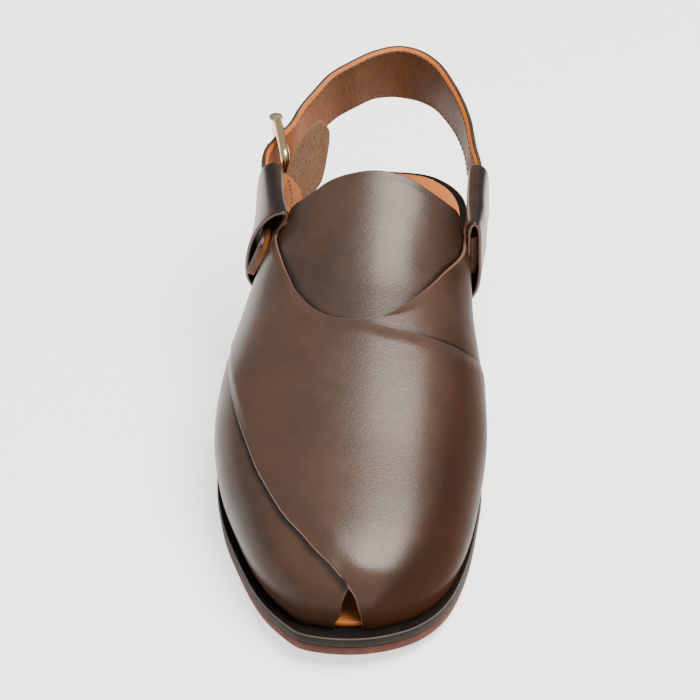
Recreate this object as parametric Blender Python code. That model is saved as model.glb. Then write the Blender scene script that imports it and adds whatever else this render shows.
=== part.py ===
"""Peshawari chappal, the wearer's right shoe, built as CAD solids in metres, +Z up.

The toe points to -Y, the heel to +Y and the buckled outer side to -X. Places along the shoe are shares
of a length and places round the upper are shares of its girth, so that the shoe follows its sizes.
"""
import math

import bmesh
import bpy
import numpy as np
from mathutils import Vector
from mathutils.geometry import delaunay_2d_cdt

# Driving sizes
SOLE_LENGTH = 0.292
BALL_WIDTH = 0.1078
INSTEP = 0.081
HEEL_HEIGHT = 0.022
HEEL_LENGTH = 0.070
TOE_SPRING = 0.0065
OUTSOLE = 0.0045
MIDSOLE = 0.004
INSOLE = 0.0025
TOP_PIECE = 0.006
LEATHER = 0.002
TONGUE = 0.0016
LINING_SPACE = 0.0004
GAP = 0.0003
TOE_REVEAL = 0.0095
HEEL_REVEAL = 0.0065
SIDE_REVEAL = 0.0065
STRAP_WIDTH = 0.026
STRAP_THICKNESS = 0.0030
BUCKLE_WIRE = 0.0040
MESH_STEP = 0.0062

FORM_LENGTH = SOLE_LENGTH - TOE_REVEAL - HEEL_REVEAL

# Where the sole leaves the ground: shares of its length
TOE_LIFT_START = 0.325
WAIST_START = 0.479
WAIST_END = 0.805

# Sole edge: share of the length, outer x and inner x as shares of the ball width
OUTLINE = np.array([
    (0.0, -0.028, -0.028),
    (0.0082, -0.167, 0.106),
    (0.0356, -0.250, 0.239),
    (0.078, -0.331, 0.327),
    (0.163, -0.430, 0.400),
    (0.257, -0.512, 0.435),
    (0.350, -0.550, 0.448),
    (0.445, -0.540, 0.415),
    (0.550, -0.475, 0.345),
    (0.650, -0.390, 0.300),
    (0.770, -0.335, 0.325),
    (0.877, -0.315, 0.356),
    (0.939, -0.280, 0.327),
    (0.977, -0.205, 0.251),
    (0.998, -0.074, 0.124),
    (1.0, 0.024, 0.024),
])

# Last: share of the form length, ridge rise / instep, ridge x / ball width,
# then how far the outer and the inner flank bulge low down and high up
LAST = np.array([
    (0.0, 0.0, -0.020, 0.10, 0.35, 0.10, 0.35),
    (0.0036, 0.105, -0.020, 0.12, 0.35, 0.12, 0.35),
    (0.0127, 0.185, -0.015, 0.15, 0.33, 0.15, 0.33),
    (0.029, 0.253, -0.010, 0.22, 0.28, 0.22, 0.28),
    (0.0598, 0.315, -0.005, 0.30, 0.20, 0.30, 0.20),
    (0.1286, 0.407, 0.000, 0.38, 0.10, 0.38, 0.10),
    (0.2192, 0.519, 0.005, 0.42, 0.00, 0.40, 0.00),
    (0.3279, 0.660, 0.010, 0.44, -0.02, 0.43, 0.00),
    (0.4366, 0.796, 0.010, 0.44, -0.05, 0.54, -0.05),
    (0.5453, 0.920, 0.005, 0.44, 0.03, 0.80, -0.15),
    (0.6431, 1.0, 0.000, 0.32, 0.30, 0.55, 0.75),
    (0.817, 1.21, 0.000, 0.92, 0.00, 0.65, 0.00),
])

# Edges of the two crossing bands: share of the form length, share of the half girth
# (-1 at the outer edge of the sole, 0 on the ridge, 1 at the inner edge of the sole)
SLIT_INNER = [(0.002, 1.0), (0.0025, 0.498), (0.0043, 0.256), (0.0083, 0.129), (0.0127, 0.045),
              (0.0149, 0.010)]
SLIT_OUTER = [(0.0149, 0.010), (0.0098, -0.013), (0.0069, -0.036), (0.0033, -0.069), (0.0012, -0.20),
              (0.0006, -0.55), (0.0005, -1.0)]
TOP_BAND_FRONT = [(0.0149, 0.010), (0.0175, -0.016), (0.030, -0.107), (0.0507, -0.202), (0.0775, -0.264),
                  (0.1138, -0.338), (0.1623, -0.398), (0.2076, -0.440), (0.2518, -0.464), (0.2917, -0.489),
                  (0.330, -0.513), (0.3725, -0.547), (0.402, -0.575)]
LOW_BAND_CORNER = [(0.457, -1.0), (0.459, -0.82), (0.455, -0.73), (0.441, -0.665), (0.422, -0.625),
                   (0.402, -0.575)]
TOP_BAND_LEG = [(0.402, -0.575), (0.430, -0.598), (0.456, -0.635), (0.476, -0.70), (0.489, -0.82),
                (0.492, -1.0)]
LEG_REAR = [(0.672, -1.0), (0.700, -0.94), (0.727, -0.85), (0.738, -0.74), (0.739, -0.63)]
LEG_TOP = [(0.739, -0.63), (0.690, -0.559), (0.643, -0.497), (0.610, -0.480)]
TOP_BAND_REAR_OUTER = [(0.610, -0.480), (0.579, -0.420), (0.557, -0.382), (0.5366, -0.351),
                       (0.514, -0.316), (0.4935, -0.287), (0.467, -0.240), (0.445, -0.193),
                       (0.4286, -0.138), (0.421, -0.084), (0.416, -0.010)]
LOW_BAND_TOP = [(0.416, -0.010), (0.4264, 0.051), (0.443, 0.113), (0.4703, 0.196), (0.5076, 0.293),
                (0.545, 0.378), (0.568, 0.429), (0.592, 0.478), (0.610, 0.506)]
INNER_LEG_TOP = [(0.610, 0.506), (0.643, 0.505), (0.690, 0.560), (0.739, 0.63)]
LOW_BAND_LEG = [(0.496, 1.0), (0.486, 0.86), (0.4655, 0.735)]
TOP_BAND_REAR_INNER = [(0.416, -0.010), (0.4098, 0.051), (0.4076, 0.144), (0.4076, 0.253),
                       (0.4145, 0.382), (0.4232, 0.471), (0.441, 0.580), (0.460, 0.662), (0.4655, 0.735)]
TOP_BAND_CORNER = [(0.4655, 0.735), (0.463, 0.85), (0.459, 1.0)]
# Front edge of the lower band where the upper band hides it
HIDDEN_FRONT = np.array([(-0.10, 0.002), (0.0, 0.012), (0.107, 0.030), (0.202, 0.0507), (0.264, 0.0775),
                         (0.338, 0.1138), (0.398, 0.1623), (0.440, 0.2076), (0.489, 0.2917),
                         (0.547, 0.3725), (0.60, 0.420), (0.735, 0.4655), (1.0, 0.496)])
HIDDEN_REAR = 0.400
BLEND = 0.030

# Tongue edge: share of the form length, share of the half girth
TONGUE_EDGE = [(0.630, -0.50), (0.6425, -0.416), (0.6395, -0.333), (0.6425, -0.227), (0.647, -0.147),
               (0.650, -0.078), (0.652, 0.0), (0.650, 0.107), (0.6455, 0.180), (0.6415, 0.253),
               (0.6415, 0.340), (0.648, 0.447), (0.645, 0.52), (0.615, 0.62), (0.560, 0.66),
               (0.480, 0.62), (0.415, 0.50), (0.385, 0.36), (0.370, 0.18), (0.366, 0.0), (0.370, -0.18),
               (0.380, -0.34), (0.400, -0.48), (0.480, -0.62), (0.560, -0.66), (0.605, -0.60)]

# Loops that hold the strap: share of the form length at the front and rear edges
LOOP_FRONT = 0.612
LOOP_REAR = 0.734
# Loop profile: stand-off from the middle of the leg's wall in metres, height above the ground / instep
LOOP_PROFILE = [(0.0, 0.800), (0.0, 0.920), (0.0, 0.975), (0.0009, 1.012), (0.0032, 1.030),
                (0.0058, 1.012), (0.0069, 0.965), (0.0073, 0.860), (0.0075, 0.750), (0.0075, 0.660),
                (0.0066, 0.600), (0.0036, 0.550), (0.0003, 0.520)]
LOOP_REAR_LIFT = 0.050
LOOP_REAR_FLARE = 0.0012
# The inner loop hugs the strap and stands upright: its stand-off as a share of the outer loop's, the height
# above which its wall goes straight up and its rear lift, both as shares of the instep
INNER_LOOP_SHARE = 0.89
INNER_UPRIGHT_FROM = 0.80
INNER_REAR_LIFT = 0.085
# Rows of the loop's mesh along the shoe and along its profile
LOOP_ROWS = 7
LOOP_STEPS = 30
STRAP_STAND_OFF = 0.0034
INNER_STRAP_STAND_OFF = 0.0035
STRAP_STATIONS = 64
STRAP_EDGE_RADIUS = 0.0009
STRAP_TIP_LENGTH = 0.007
STRAP_TIP_SHARE = 0.62

# Heel strap outside the loops, outer side first: x / ball width, share of the sole length,
# height of the middle / instep, width / strap width
STRAP_ROUTE = [(-0.4350, 0.7463, 0.908, 0.78), (-0.4330, 0.7768, 0.925, 0.78),
               (-0.3980, 0.8040, 0.936, 0.78), (-0.3450, 0.8325, 0.960, 0.78),
               (-0.3080, 0.8610, 0.993, 0.78), (-0.2540, 0.8880, 1.032, 0.80),
               (-0.1980, 0.9105, 1.070, 0.83), (-0.1060, 0.9310, 1.118, 0.84),
               (-0.0240, 0.9485, 1.135, 0.875), (0.0600, 0.9575, 1.129, 0.96),
               (0.1380, 0.9510, 1.125, 0.94), (0.1970, 0.9365, 1.113, 0.87),
               (0.2770, 0.8965, 1.077, 0.77), (0.3390, 0.8440, 1.028, 0.73),
               (0.3700, 0.7864, 0.976, 0.75), (0.3930, 0.7500, 0.928, 0.78)]
STRAP_LOOP_STATIONS = [(0.592, 0.780), (0.630, 0.800), (0.680, 0.833), (0.722, 0.868)]
STRAP_LOOP_WIDTH = 0.77

# Buckle: x / ball width, share of the sole length and height / instep of its bars
BUCKLE_FRONT = (-0.357, 0.7430)
BUCKLE_REAR = (-0.406, 0.8390)
BUCKLE_LOW = 0.722
BUCKLE_HIGH = 1.105
BUCKLE_CORNER = 0.0035
PRONG_LEVEL = 0.905
PRONG_WIRE = 0.0022
PRONG_OVERHANG = 0.004
PRONG_HOLE = 0.0016

# Guard flap, from inside the leg past the front bar: x / ball width, share of the sole length,
# low and high edge / instep
FLAP = [(-0.3520, 0.7000, 0.815, 0.955), (-0.3520, 0.7220, 0.815, 0.995), (-0.3250, 0.7430, 0.770, 1.110),
        (-0.3060, 0.7570, 0.752, 1.155), (-0.2830, 0.7710, 0.750, 1.178), (-0.2550, 0.7890, 0.763, 1.187),
        (-0.2230, 0.8060, 0.815, 1.172), (-0.1980, 0.8180, 0.935, 1.125)]
FLAP_THICKNESS = 0.0016

# How far the insole reaches past the reveals at the sides and at the heel, and how far the heel stands in
INSOLE_LIP = 0.0013
INSOLE_REAR_LIP = 0.0015
HEEL_INSET = 0.0008
# Rise of the top band over the hidden band, as a share of the leather
OVERLAP_RISE = 0.9


def clear_scene():
    """Remove everything that the start-up file holds."""
    for thing in list(bpy.data.objects):
        bpy.data.objects.remove(thing, do_unlink=True)


def material(name, colour, roughness, metallic=0.0):
    """Make one Principled material.

    Args:
        name: material name.
        colour: linear RGB.
        roughness: Principled roughness.
        metallic: Principled metallic.

    Returns:
        The material.
    """
    made = bpy.data.materials.new(name)
    made.use_nodes = True
    shader = made.node_tree.nodes["Principled BSDF"]
    shader.inputs["Base Color"].default_value = (*colour, 1.0)
    shader.inputs["Roughness"].default_value = roughness
    shader.inputs["Metallic"].default_value = metallic
    return made


def add_object(name, points, faces, look):
    """Put points and faces into the scene as one closed object with its faces out.

    Args:
        name: node name.
        points: (n, 3) positions in metres.
        faces: vertex indices of each face.
        look: material.

    Returns:
        The object.
    """
    mesh = bpy.data.meshes.new(name)
    mesh.from_pydata([tuple(map(float, point)) for point in points], [], [list(face) for face in faces])
    mesh.materials.append(look)
    work = bmesh.new()
    work.from_mesh(mesh)
    bmesh.ops.remove_doubles(work, verts=work.verts, dist=0.000001)
    bmesh.ops.recalc_face_normals(work, faces=work.faces)
    work.to_mesh(mesh)
    work.free()
    thing = bpy.data.objects.new(name, mesh)
    bpy.context.collection.objects.link(thing)
    return thing


def smooth_curve(places, values, where):
    """Read a smooth curve through table rows: a cubic with the weighted mean slope at each row.

    Args:
        places: rising row positions.
        values: row values.
        where: positions to read.

    Returns:
        The curve's values.
    """
    where = np.clip(where, places[0], places[-1])
    steps = np.diff(places)
    slopes = np.diff(values) / steps
    at_rows = np.empty_like(values)
    at_rows[0] = slopes[0]
    at_rows[-1] = slopes[-1]
    at_rows[1:-1] = (slopes[:-1] * steps[1:] + slopes[1:] * steps[:-1]) / (steps[:-1] + steps[1:])
    row = np.clip(np.searchsorted(places, where) - 1, 0, len(places) - 2)
    part = (where - places[row]) / steps[row]
    start = values[row] * (1 + 2 * part) * (1 - part) ** 2 + steps[row] * at_rows[row] * part * (1 - part) ** 2
    end = values[row + 1] * part ** 2 * (3 - 2 * part) + steps[row] * at_rows[row + 1] * part ** 2 * (part - 1)
    return start + end


def turn(share):
    """Spread shares of a length as the angle round a circle, so that round ends get even steps."""
    return np.arccos(np.clip(1 - 2 * np.asarray(share, float), -1, 1))


def table(rows, column, share):
    """Read one column of a table smoothly at shares of its length."""
    return smooth_curve(turn(rows[:, 0]), rows[:, column], turn(share))


def outline_x(share, side):
    """Give the sole edge's x at shares of the length, outer side -1 and inner side 1."""
    return BALL_WIDTH * table(OUTLINE, 1 if side < 0 else 2, share)


def ease(value):
    """Rise smoothly from 0 to 1 as the value does."""
    value = np.clip(value, 0, 1)
    return value * value * (3 - 2 * value)


def sole_under(along):
    """Height of the outsole's underside at a distance from the toe tip.

    It lifts at the toe, lies flat under the ball, climbs through the waist and lies flat on the heel.
    """
    share = np.asarray(along, float) / SOLE_LENGTH
    toe = TOE_SPRING * np.clip((TOE_LIFT_START - share) / TOE_LIFT_START, 0, 1) ** 2
    return toe + HEEL_HEIGHT * ease((share - WAIST_START) / (WAIST_END - WAIST_START))


def seat(along):
    """Height on which the insole and the upper stand, just above the midsole."""
    return sole_under(along) + OUTSOLE + MIDSOLE + GAP


def last_raw(run, girth):
    """Bare last surface at shares of the form length and of the half girth, without stand-off."""
    side = girth < 0
    along = TOE_REVEAL + FORM_LENGTH * run
    edge = np.where(side, outline_x(run, -1), outline_x(run, 1)) * (1 - 2 * SIDE_REVEAL / BALL_WIDTH)
    ridge = BALL_WIDTH * table(LAST, 2, run)
    low = np.where(side, table(LAST, 3, run), table(LAST, 5, run))
    high = np.where(side, table(LAST, 4, run), table(LAST, 6, run))
    angle = (1 - np.abs(girth)) * math.pi / 2
    across, up = np.cos(angle), np.sin(angle)
    x = ridge + (edge - ridge) * across * (1 + low * up + high * up * up)
    z = seat(along) + INSTEP * table(LAST, 1, run) * up
    return np.stack(np.broadcast_arrays(x, along - SOLE_LENGTH / 2, z), -1)


def last_point(run, girth, stand_off):
    """Last surface moved out along its normal.

    Args:
        run: shares of the form length.
        girth: shares of the half girth, -1 to 1.
        stand_off: metres out from the last.

    Returns:
        Positions with x, y, z last.
    """
    run, girth, stand_off = np.broadcast_arrays(*(np.asarray(item, float) for item in (run, girth, stand_off)))
    step = 0.0004
    ahead = last_raw(np.minimum(run + step, 1), girth) - last_raw(np.maximum(run - step, 0.00002), girth)
    inner = np.clip(girth, -1 + step, 1 - step)
    round_ = last_raw(run, inner + step) - last_raw(run, inner - step)
    normal = np.cross(round_, ahead)
    low = np.clip(np.sin((1 - np.abs(girth)) * math.pi / 2) / 0.3, 0, 1)
    normal[..., 2] = np.where(normal[..., 2] < 0, normal[..., 2] * low, normal[..., 2])
    normal[..., 2] = np.where(np.abs(girth) > 0.9999, 0.0, normal[..., 2])
    normal /= np.linalg.norm(normal, axis=-1, keepdims=True)
    moved = last_raw(run, girth) + normal * stand_off[..., None]
    along = TOE_REVEAL + FORM_LENGTH * run
    moved[..., 2] += seat(moved[..., 1] + SOLE_LENGTH / 2) - seat(along)
    return moved



class FlatMap:
    """Near-true flat picture of the last, used to fill outlines with even triangles."""

    def __init__(self):
        self.runs = (np.linspace(0, 1, 500) ** 2) * 0.80
        ridge = last_raw(self.runs, np.zeros(500))
        steps = np.linalg.norm(np.diff(ridge, axis=0), axis=1)
        self.down = np.concatenate([[0], np.cumsum(steps)])
        turns = np.linspace(-1, 1, 41)
        across = last_raw(self.runs[:, None], turns[None, :])
        self.half = np.linalg.norm(np.diff(across, axis=1), axis=2).sum(1) / 2 + 0.0005

    def flatten(self, places):
        """Turn (run, girth) places into flat metres."""
        places = np.asarray(places, float)
        down = np.interp(places[:, 0], self.runs, self.down)
        return np.stack([down, places[:, 1] * np.interp(places[:, 0], self.runs, self.half)], 1)

    def unflatten(self, flat):
        """Turn flat metres back into (run, girth) places."""
        flat = np.asarray(flat, float)
        run = np.interp(flat[:, 0], self.down, self.runs)
        return np.stack([run, np.clip(flat[:, 1] / np.interp(run, self.runs, self.half), -1, 1)], 1)


def resample(flat, closed, step):
    """Carry a smooth curve through flat points and cut it into even steps.

    Args:
        flat: (n, 2) points.
        closed: whether the last point joins the first.
        step: length of a step in metres.

    Returns:
        (m, 2) points, the last one included unless the curve is closed.
    """
    flat = np.asarray(flat, float)
    if closed:
        flat = np.vstack([flat[-3:], flat, flat[:4]])
    lengths = np.concatenate([[0], np.cumsum(np.linalg.norm(np.diff(flat, axis=0), axis=1))])
    start, end = (lengths[3], lengths[-4]) if closed else (0.0, lengths[-1])
    count = max(int(math.ceil((end - start) / step)), 1)
    where = np.linspace(start, end, count + 1)
    if len(flat) == 2:
        curve = flat[0] + (flat[1] - flat[0]) * (where / lengths[-1])[:, None]
    else:
        curve = np.stack([smooth_curve(lengths, flat[:, axis], where) for axis in (0, 1)], 1)
    return curve[:-1] if closed else curve


def chain(parts):
    """Join open curves end to end into one ring without repeating the joints."""
    return np.vstack([part[:-1] for part in parts])


def inside(polygon, points):
    """Tell which points lie inside a polygon, by counting the edges to one side of each point."""
    x, y = points[:, 0][:, None], points[:, 1][:, None]
    x0, y0 = polygon[:, 0], polygon[:, 1]
    x1, y1 = np.roll(x0, -1), np.roll(y0, -1)
    crosses = (y0 > y) != (y1 > y)
    slope = (x1 - x0) / np.where(y1 == y0, 1e-12, y1 - y0)
    return (np.sum(crosses & (x < x0 + slope * (y - y0)), axis=1) % 2) == 1


def fill(ring, seams, step):
    """Triangulate a ring with inner points on an even grid and with seams kept as edges.

    Args:
        ring: (n, 2) closed outline.
        seams: list of open curves whose ends lie on the ring.
        step: grid step in metres.

    Returns:
        flat points and triangles as arrays.
    """
    points = [tuple(point) for point in ring]
    edges = [(index, (index + 1) % len(ring)) for index in range(len(ring))]
    for seam in seams:
        first = len(points)
        points += [tuple(point) for point in seam]
        edges += [(first + index, first + index + 1) for index in range(len(seam) - 1)]
    low, high = ring.min(0), ring.max(0)
    rows = np.arange(low[0], high[0], step * 0.87)
    grid = [np.stack([np.full(len(columns), row), columns], 1)
            for number, row in enumerate(rows)
            for columns in [np.arange(low[1] + (number % 2) * step / 2, high[1], step)]]
    grid = np.vstack(grid)
    grid = grid[inside(ring, grid)]
    fixed = np.array(points)
    clear = np.array([np.min(np.linalg.norm(fixed - point, axis=1)) > step * 0.55 for point in grid])
    points += [tuple(point) for point in grid[clear]]
    out, _, faces, _, _, _ = delaunay_2d_cdt([Vector(point) for point in points], edges,
                                             [list(range(len(ring)))], 1, 0.00001, False)
    out = np.array([tuple(point) for point in out])
    faces = np.array([face for face in faces if len(face) == 3])
    middle = out[faces].mean(1)
    return out, faces[inside(ring, middle)]


def layered_shell(name, flat_map, ring, seams, top_region, heights, look):
    """Build one closed shell over the last whose outer face steps up inside a region.

    Args:
        name: node name.
        flat_map: FlatMap that the ring is drawn in.
        ring: flat outline.
        seams: step lines inside the outline.
        top_region: flat outline of the raised region, or None.
        heights: function of (run, girth) giving inner, low outer and raised outer stand-off.
        look: material.

    Returns:
        The object.
    """
    flat, faces = fill(ring, seams, MESH_STEP)
    raised = np.zeros(len(faces), bool) if top_region is None else inside(top_region, flat[faces].mean(1))
    place = flat_map.unflatten(flat)
    inner, low, high = heights(place[:, 0], place[:, 1])
    count = len(flat)
    levels = [last_point(place[:, 0], place[:, 1], level) for level in (inner, low, high)]
    points = np.vstack(levels)
    has = np.zeros((count, 2), bool)
    has[faces[~raised].ravel(), 0] = True
    has[faces[raised].ravel(), 1] = True
    solid = []
    owner = {}
    for face, up in zip(faces.tolist(), raised.tolist()):
        shift = count * (2 if up else 1)
        solid.append([corner + shift for corner in face])
        solid.append(face[::-1])
        for one, two in ((0, 1), (1, 2), (2, 0)):
            owner[(face[one], face[two])] = up
    for (one, two), up in owner.items():
        other = owner.get((two, one))
        if other is None:
            wall = [one, two]
            for corner in (two, one):
                levels_here = [count * (level + 1) + corner for level in (0, 1)
                               if has[corner, level] and (level == 0 or up) and (level <= int(up))]
                wall += levels_here if corner == two else levels_here[::-1]
            solid.append(wall)
        elif up and not other:
            solid.append([one + count, two + count, two + 2 * count, one + 2 * count])
    return add_object(name, points, solid, look)


def hidden_height(run, girth):
    """How far the upper band is lifted over the lower one, 0 to 1."""
    front = np.interp(girth, HIDDEN_FRONT[:, 0], HIDDEN_FRONT[:, 1])
    lifted = np.where(girth > -0.1, ease((run - front) / BLEND + 0.35), 1.0)
    behind = np.where(girth < 0, ease((HIDDEN_REAR - run) / BLEND + 0.8), 1.0)
    fade = ease(-girth / 0.12)
    return lifted * (behind * fade + (1 - fade))


def upper_heights(run, girth):
    """Stand-offs of the upper: inner face, lower band's face, upper band's face."""
    inner = np.full(run.shape, TONGUE + LINING_SPACE)
    low = inner + LEATHER
    return inner, low, low + OVERLAP_RISE * LEATHER * hidden_height(run, girth)


def build_upper(flat_map, look):
    """Make the two crossing bands as one shell, then add the two strap loops."""
    def curve(points):
        return resample(flat_map.flatten(points), False, MESH_STEP * 0.85)

    slit_inner, slit_outer = curve(SLIT_INNER), curve(SLIT_OUTER)
    outer_feather = curve([(0.0005, -1.0)] + [(run, -1.0) for run in np.linspace(0.004, 0.457, 18)])
    sole_to_leg = [curve(points) for points in (TOP_BAND_LEG, [TOP_BAND_LEG[-1], LEG_REAR[0]], LEG_REAR, LEG_TOP,
                                                TOP_BAND_REAR_OUTER)]
    low_top = [curve(points) for points in (LOW_BAND_TOP, INNER_LEG_TOP, [(r, -g) for r, g in LEG_REAR[::-1]],
                                            [(0.672, 1.0), (0.496, 1.0)], LOW_BAND_LEG)]
    corner = curve(TOP_BAND_CORNER)
    inner_feather = curve([(run, 1.0) for run in np.linspace(0.459, 0.004, 18)] + [(0.002, 1.0)])
    front_seam, rear_seam = curve(TOP_BAND_FRONT), curve(TOP_BAND_REAR_INNER)
    ring = chain([slit_inner, slit_outer, outer_feather, curve(LOW_BAND_CORNER)] + sole_to_leg + low_top
                 + [corner, inner_feather])
    top_region = chain([slit_inner, front_seam] + sole_to_leg + [rear_seam, corner, inner_feather])
    shell = layered_shell("upper", flat_map, ring, [front_seam, rear_seam], top_region, upper_heights, look)
    for side in (-1, 1):
        loop = build_loop(side, look)
        union = shell.modifiers.new("loop", "BOOLEAN")
        union.operation = "UNION"
        union.solver = "EXACT"
        union.object = loop
        loop.hide_render = True
        loop.display_type = "WIRE"
    return shell


def girth_at_height(run, side, height):
    """Share of the half girth at which the last reaches a height above the ground."""
    girths = np.linspace(1.0, 0.02, 240)
    heights = last_raw(np.full(240, run), side * girths)[:, 2]
    return side * float(np.interp(height, heights, girths))


def loop_point(run, side, stand_off, level):
    """Point beside the last at a height above the ground given as a share of the instep.

    On the outer side it stands off square to the last. On the inner side it stands straight out from a wall
    that goes straight up.
    """
    base = TONGUE + LINING_SPACE + LEATHER / 2
    if side < 0:
        return last_point(run, girth_at_height(run, side, level * INSTEP), base + stand_off)
    point = last_point(run, girth_at_height(run, side, min(level, INNER_UPRIGHT_FROM) * INSTEP), base)
    return np.array([point[0] + stand_off, point[1], level * INSTEP])


def sweep(name, sections, look):
    """Skin rings of points, one per station, and close both ends.

    Args:
        name: node name.
        sections: (stations, ring, 3) points.
        look: material.

    Returns:
        The object.
    """
    stations, ring = sections.shape[:2]
    faces = [[row * ring + col, row * ring + (col + 1) % ring, (row + 1) * ring + (col + 1) % ring,
              (row + 1) * ring + col] for row in range(stations - 1) for col in range(ring)]
    faces.append(list(range(ring)))
    faces.append(list(range((stations - 1) * ring, stations * ring)))
    return add_object(name, sections.reshape(-1, 3), faces, look)


def build_loop(side, look):
    """Make one loop: the band's ear, which goes up the ankle, folds out and comes down outside."""
    profile = np.array(LOOP_PROFILE)
    lengths = np.linspace(0, 1, len(profile))
    fine = np.linspace(0, 1, LOOP_STEPS)
    stand = smooth_curve(lengths, profile[:, 0], fine) * (1 if side < 0 else INNER_LOOP_SHARE)
    level = smooth_curve(lengths, profile[:, 1], fine)
    sections = []
    for part in np.linspace(0, 1, LOOP_ROWS):
        run = LOOP_FRONT + 0.003 + (LOOP_REAR - 0.002 - LOOP_FRONT) * part
        lift = (LOOP_REAR_LIFT if side < 0 else INNER_REAR_LIFT) * part * ease((level - 0.55) / 0.4)
        flare = LOOP_REAR_FLARE * part * np.sin(np.pi * np.clip((fine - 0.25) / 0.7, 0, 1))
        middle = np.array([loop_point(run, side, off + wide, high + up)
                           for off, wide, high, up in zip(stand, flare, level, lift)])
        along = np.gradient(middle, axis=0)
        across = np.stack([along[:, 2], np.zeros(len(fine)), -along[:, 0]], 1)
        across /= np.linalg.norm(across, axis=1, keepdims=True)
        thick = LEATHER * (0.36 + 0.14 * ease(fine / 0.3))
        sections.append(np.vstack([middle + across * thick[:, None], (middle - across * thick[:, None])[::-1]]))
    return sweep(f"loop_{'outer' if side < 0 else 'inner'}", np.array(sections), look)


def build_tongue(flat_map, look):
    """Make the tongue, a curved sheet under both bands."""
    ring = resample(flat_map.flatten(TONGUE_EDGE), True, MESH_STEP)
    return layered_shell("tongue", flat_map, ring, [], None,
                         lambda run, girth: (np.zeros(run.shape), np.full(run.shape, TONGUE),
                                             np.full(run.shape, TONGUE)), look)


def slab(name, look, reveals, start, low, high, stations=44):
    """Make a sole layer between two heights inside the sole's outline.

    Args:
        name: node name.
        look: material.
        reveals: how far it stays inside the edge at the toe, the side and the heel.
        start: distance from the toe tip at which it is cut straight, or None.
        low: function of the distance along giving the underside.
        high: function of the distance along giving the top.
        stations: number of steps along.

    Returns:
        The object.
    """
    toe, side, heel = reveals
    length = SOLE_LENGTH - toe - heel
    first = 0.0 if start is None else (start - toe) / length
    angle = np.linspace(turn(first), math.pi, stations + 1)
    share = (1 - np.cos(angle)) / 2
    along = toe + length * share
    narrow = 1 - 2 * side / BALL_WIDTH
    outer, inner = outline_x(share, -1) * narrow, outline_x(share, 1) * narrow
    y = along - SOLE_LENGTH / 2
    rows = [np.stack([x, y, z], 1) for x, z in ((outer, low(along)), (inner, low(along)), (inner, high(along)),
                                                (outer, high(along)))]
    sections = np.stack(rows, 1)
    faces = [[row * 4 + col, row * 4 + (col + 1) % 4, row * 4 + 4 + (col + 1) % 4, row * 4 + 4 + col]
             for row in range(stations) for col in range(4)]
    faces += [[0, 1, 2, 3], [stations * 4 + corner for corner in range(4)]]
    return add_object(name, sections.reshape(-1, 3), faces, look)


def build_sole(looks):
    """Make the outsole, midsole, heel stack, heel top piece and insole."""
    heel_start = SOLE_LENGTH - HEEL_LENGTH
    whole = (0.0, 0.0, 0.0)
    heel_edge = (0.0, HEEL_INSET, HEEL_INSET)
    slab("outsole", looks["outsole"], whole, None, sole_under, lambda s: sole_under(s) + OUTSOLE - GAP)
    slab("midsole", looks["midsole"], whole, None, lambda s: sole_under(s) + OUTSOLE,
         lambda s: sole_under(s) + OUTSOLE + MIDSOLE)
    slab("heel_stack", looks["midsole"], heel_edge, heel_start, lambda s: 0 * s + TOP_PIECE + GAP,
         lambda s: sole_under(s) - GAP, 20)
    slab("heel_top_piece", looks["outsole"], heel_edge, heel_start, lambda s: 0 * s,
         lambda s: 0 * s + TOP_PIECE, 20)
    slab("insole", looks["lining"], (TOE_REVEAL - INSOLE_LIP, SIDE_REVEAL - INSOLE_LIP, HEEL_REVEAL - INSOLE_REAR_LIP), None, seat,
         lambda s: seat(s) + INSOLE)


def strap_path():
    """Give the strap's middle line, its width direction and its width at each hand-placed station."""
    middles, ups, widths = [], [], []

    def in_loop(side, stand_off, stations):
        for run, level in stations:
            middle = loop_point(run, side, stand_off, level)
            above = loop_point(run, side, stand_off, level + 0.09)
            middles.append(middle)
            ups.append(above - middle)
            widths.append(STRAP_WIDTH * STRAP_LOOP_WIDTH)

    in_loop(-1, STRAP_STAND_OFF, STRAP_LOOP_STATIONS)
    for x, share, level, width in STRAP_ROUTE:
        y = share * SOLE_LENGTH - SOLE_LENGTH / 2
        middles.append(np.array([x * BALL_WIDTH, y, level * INSTEP]))
        ups.append(np.array([0.0, 0.08 * ease((share - 0.85) / 0.1), 1.0]))
        widths.append(STRAP_WIDTH * width)
    in_loop(1, INNER_STRAP_STAND_OFF, STRAP_LOOP_STATIONS[:0:-1])
    ups = np.array([up / np.linalg.norm(up) for up in ups])
    return np.array(middles), ups, np.array(widths)


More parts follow.
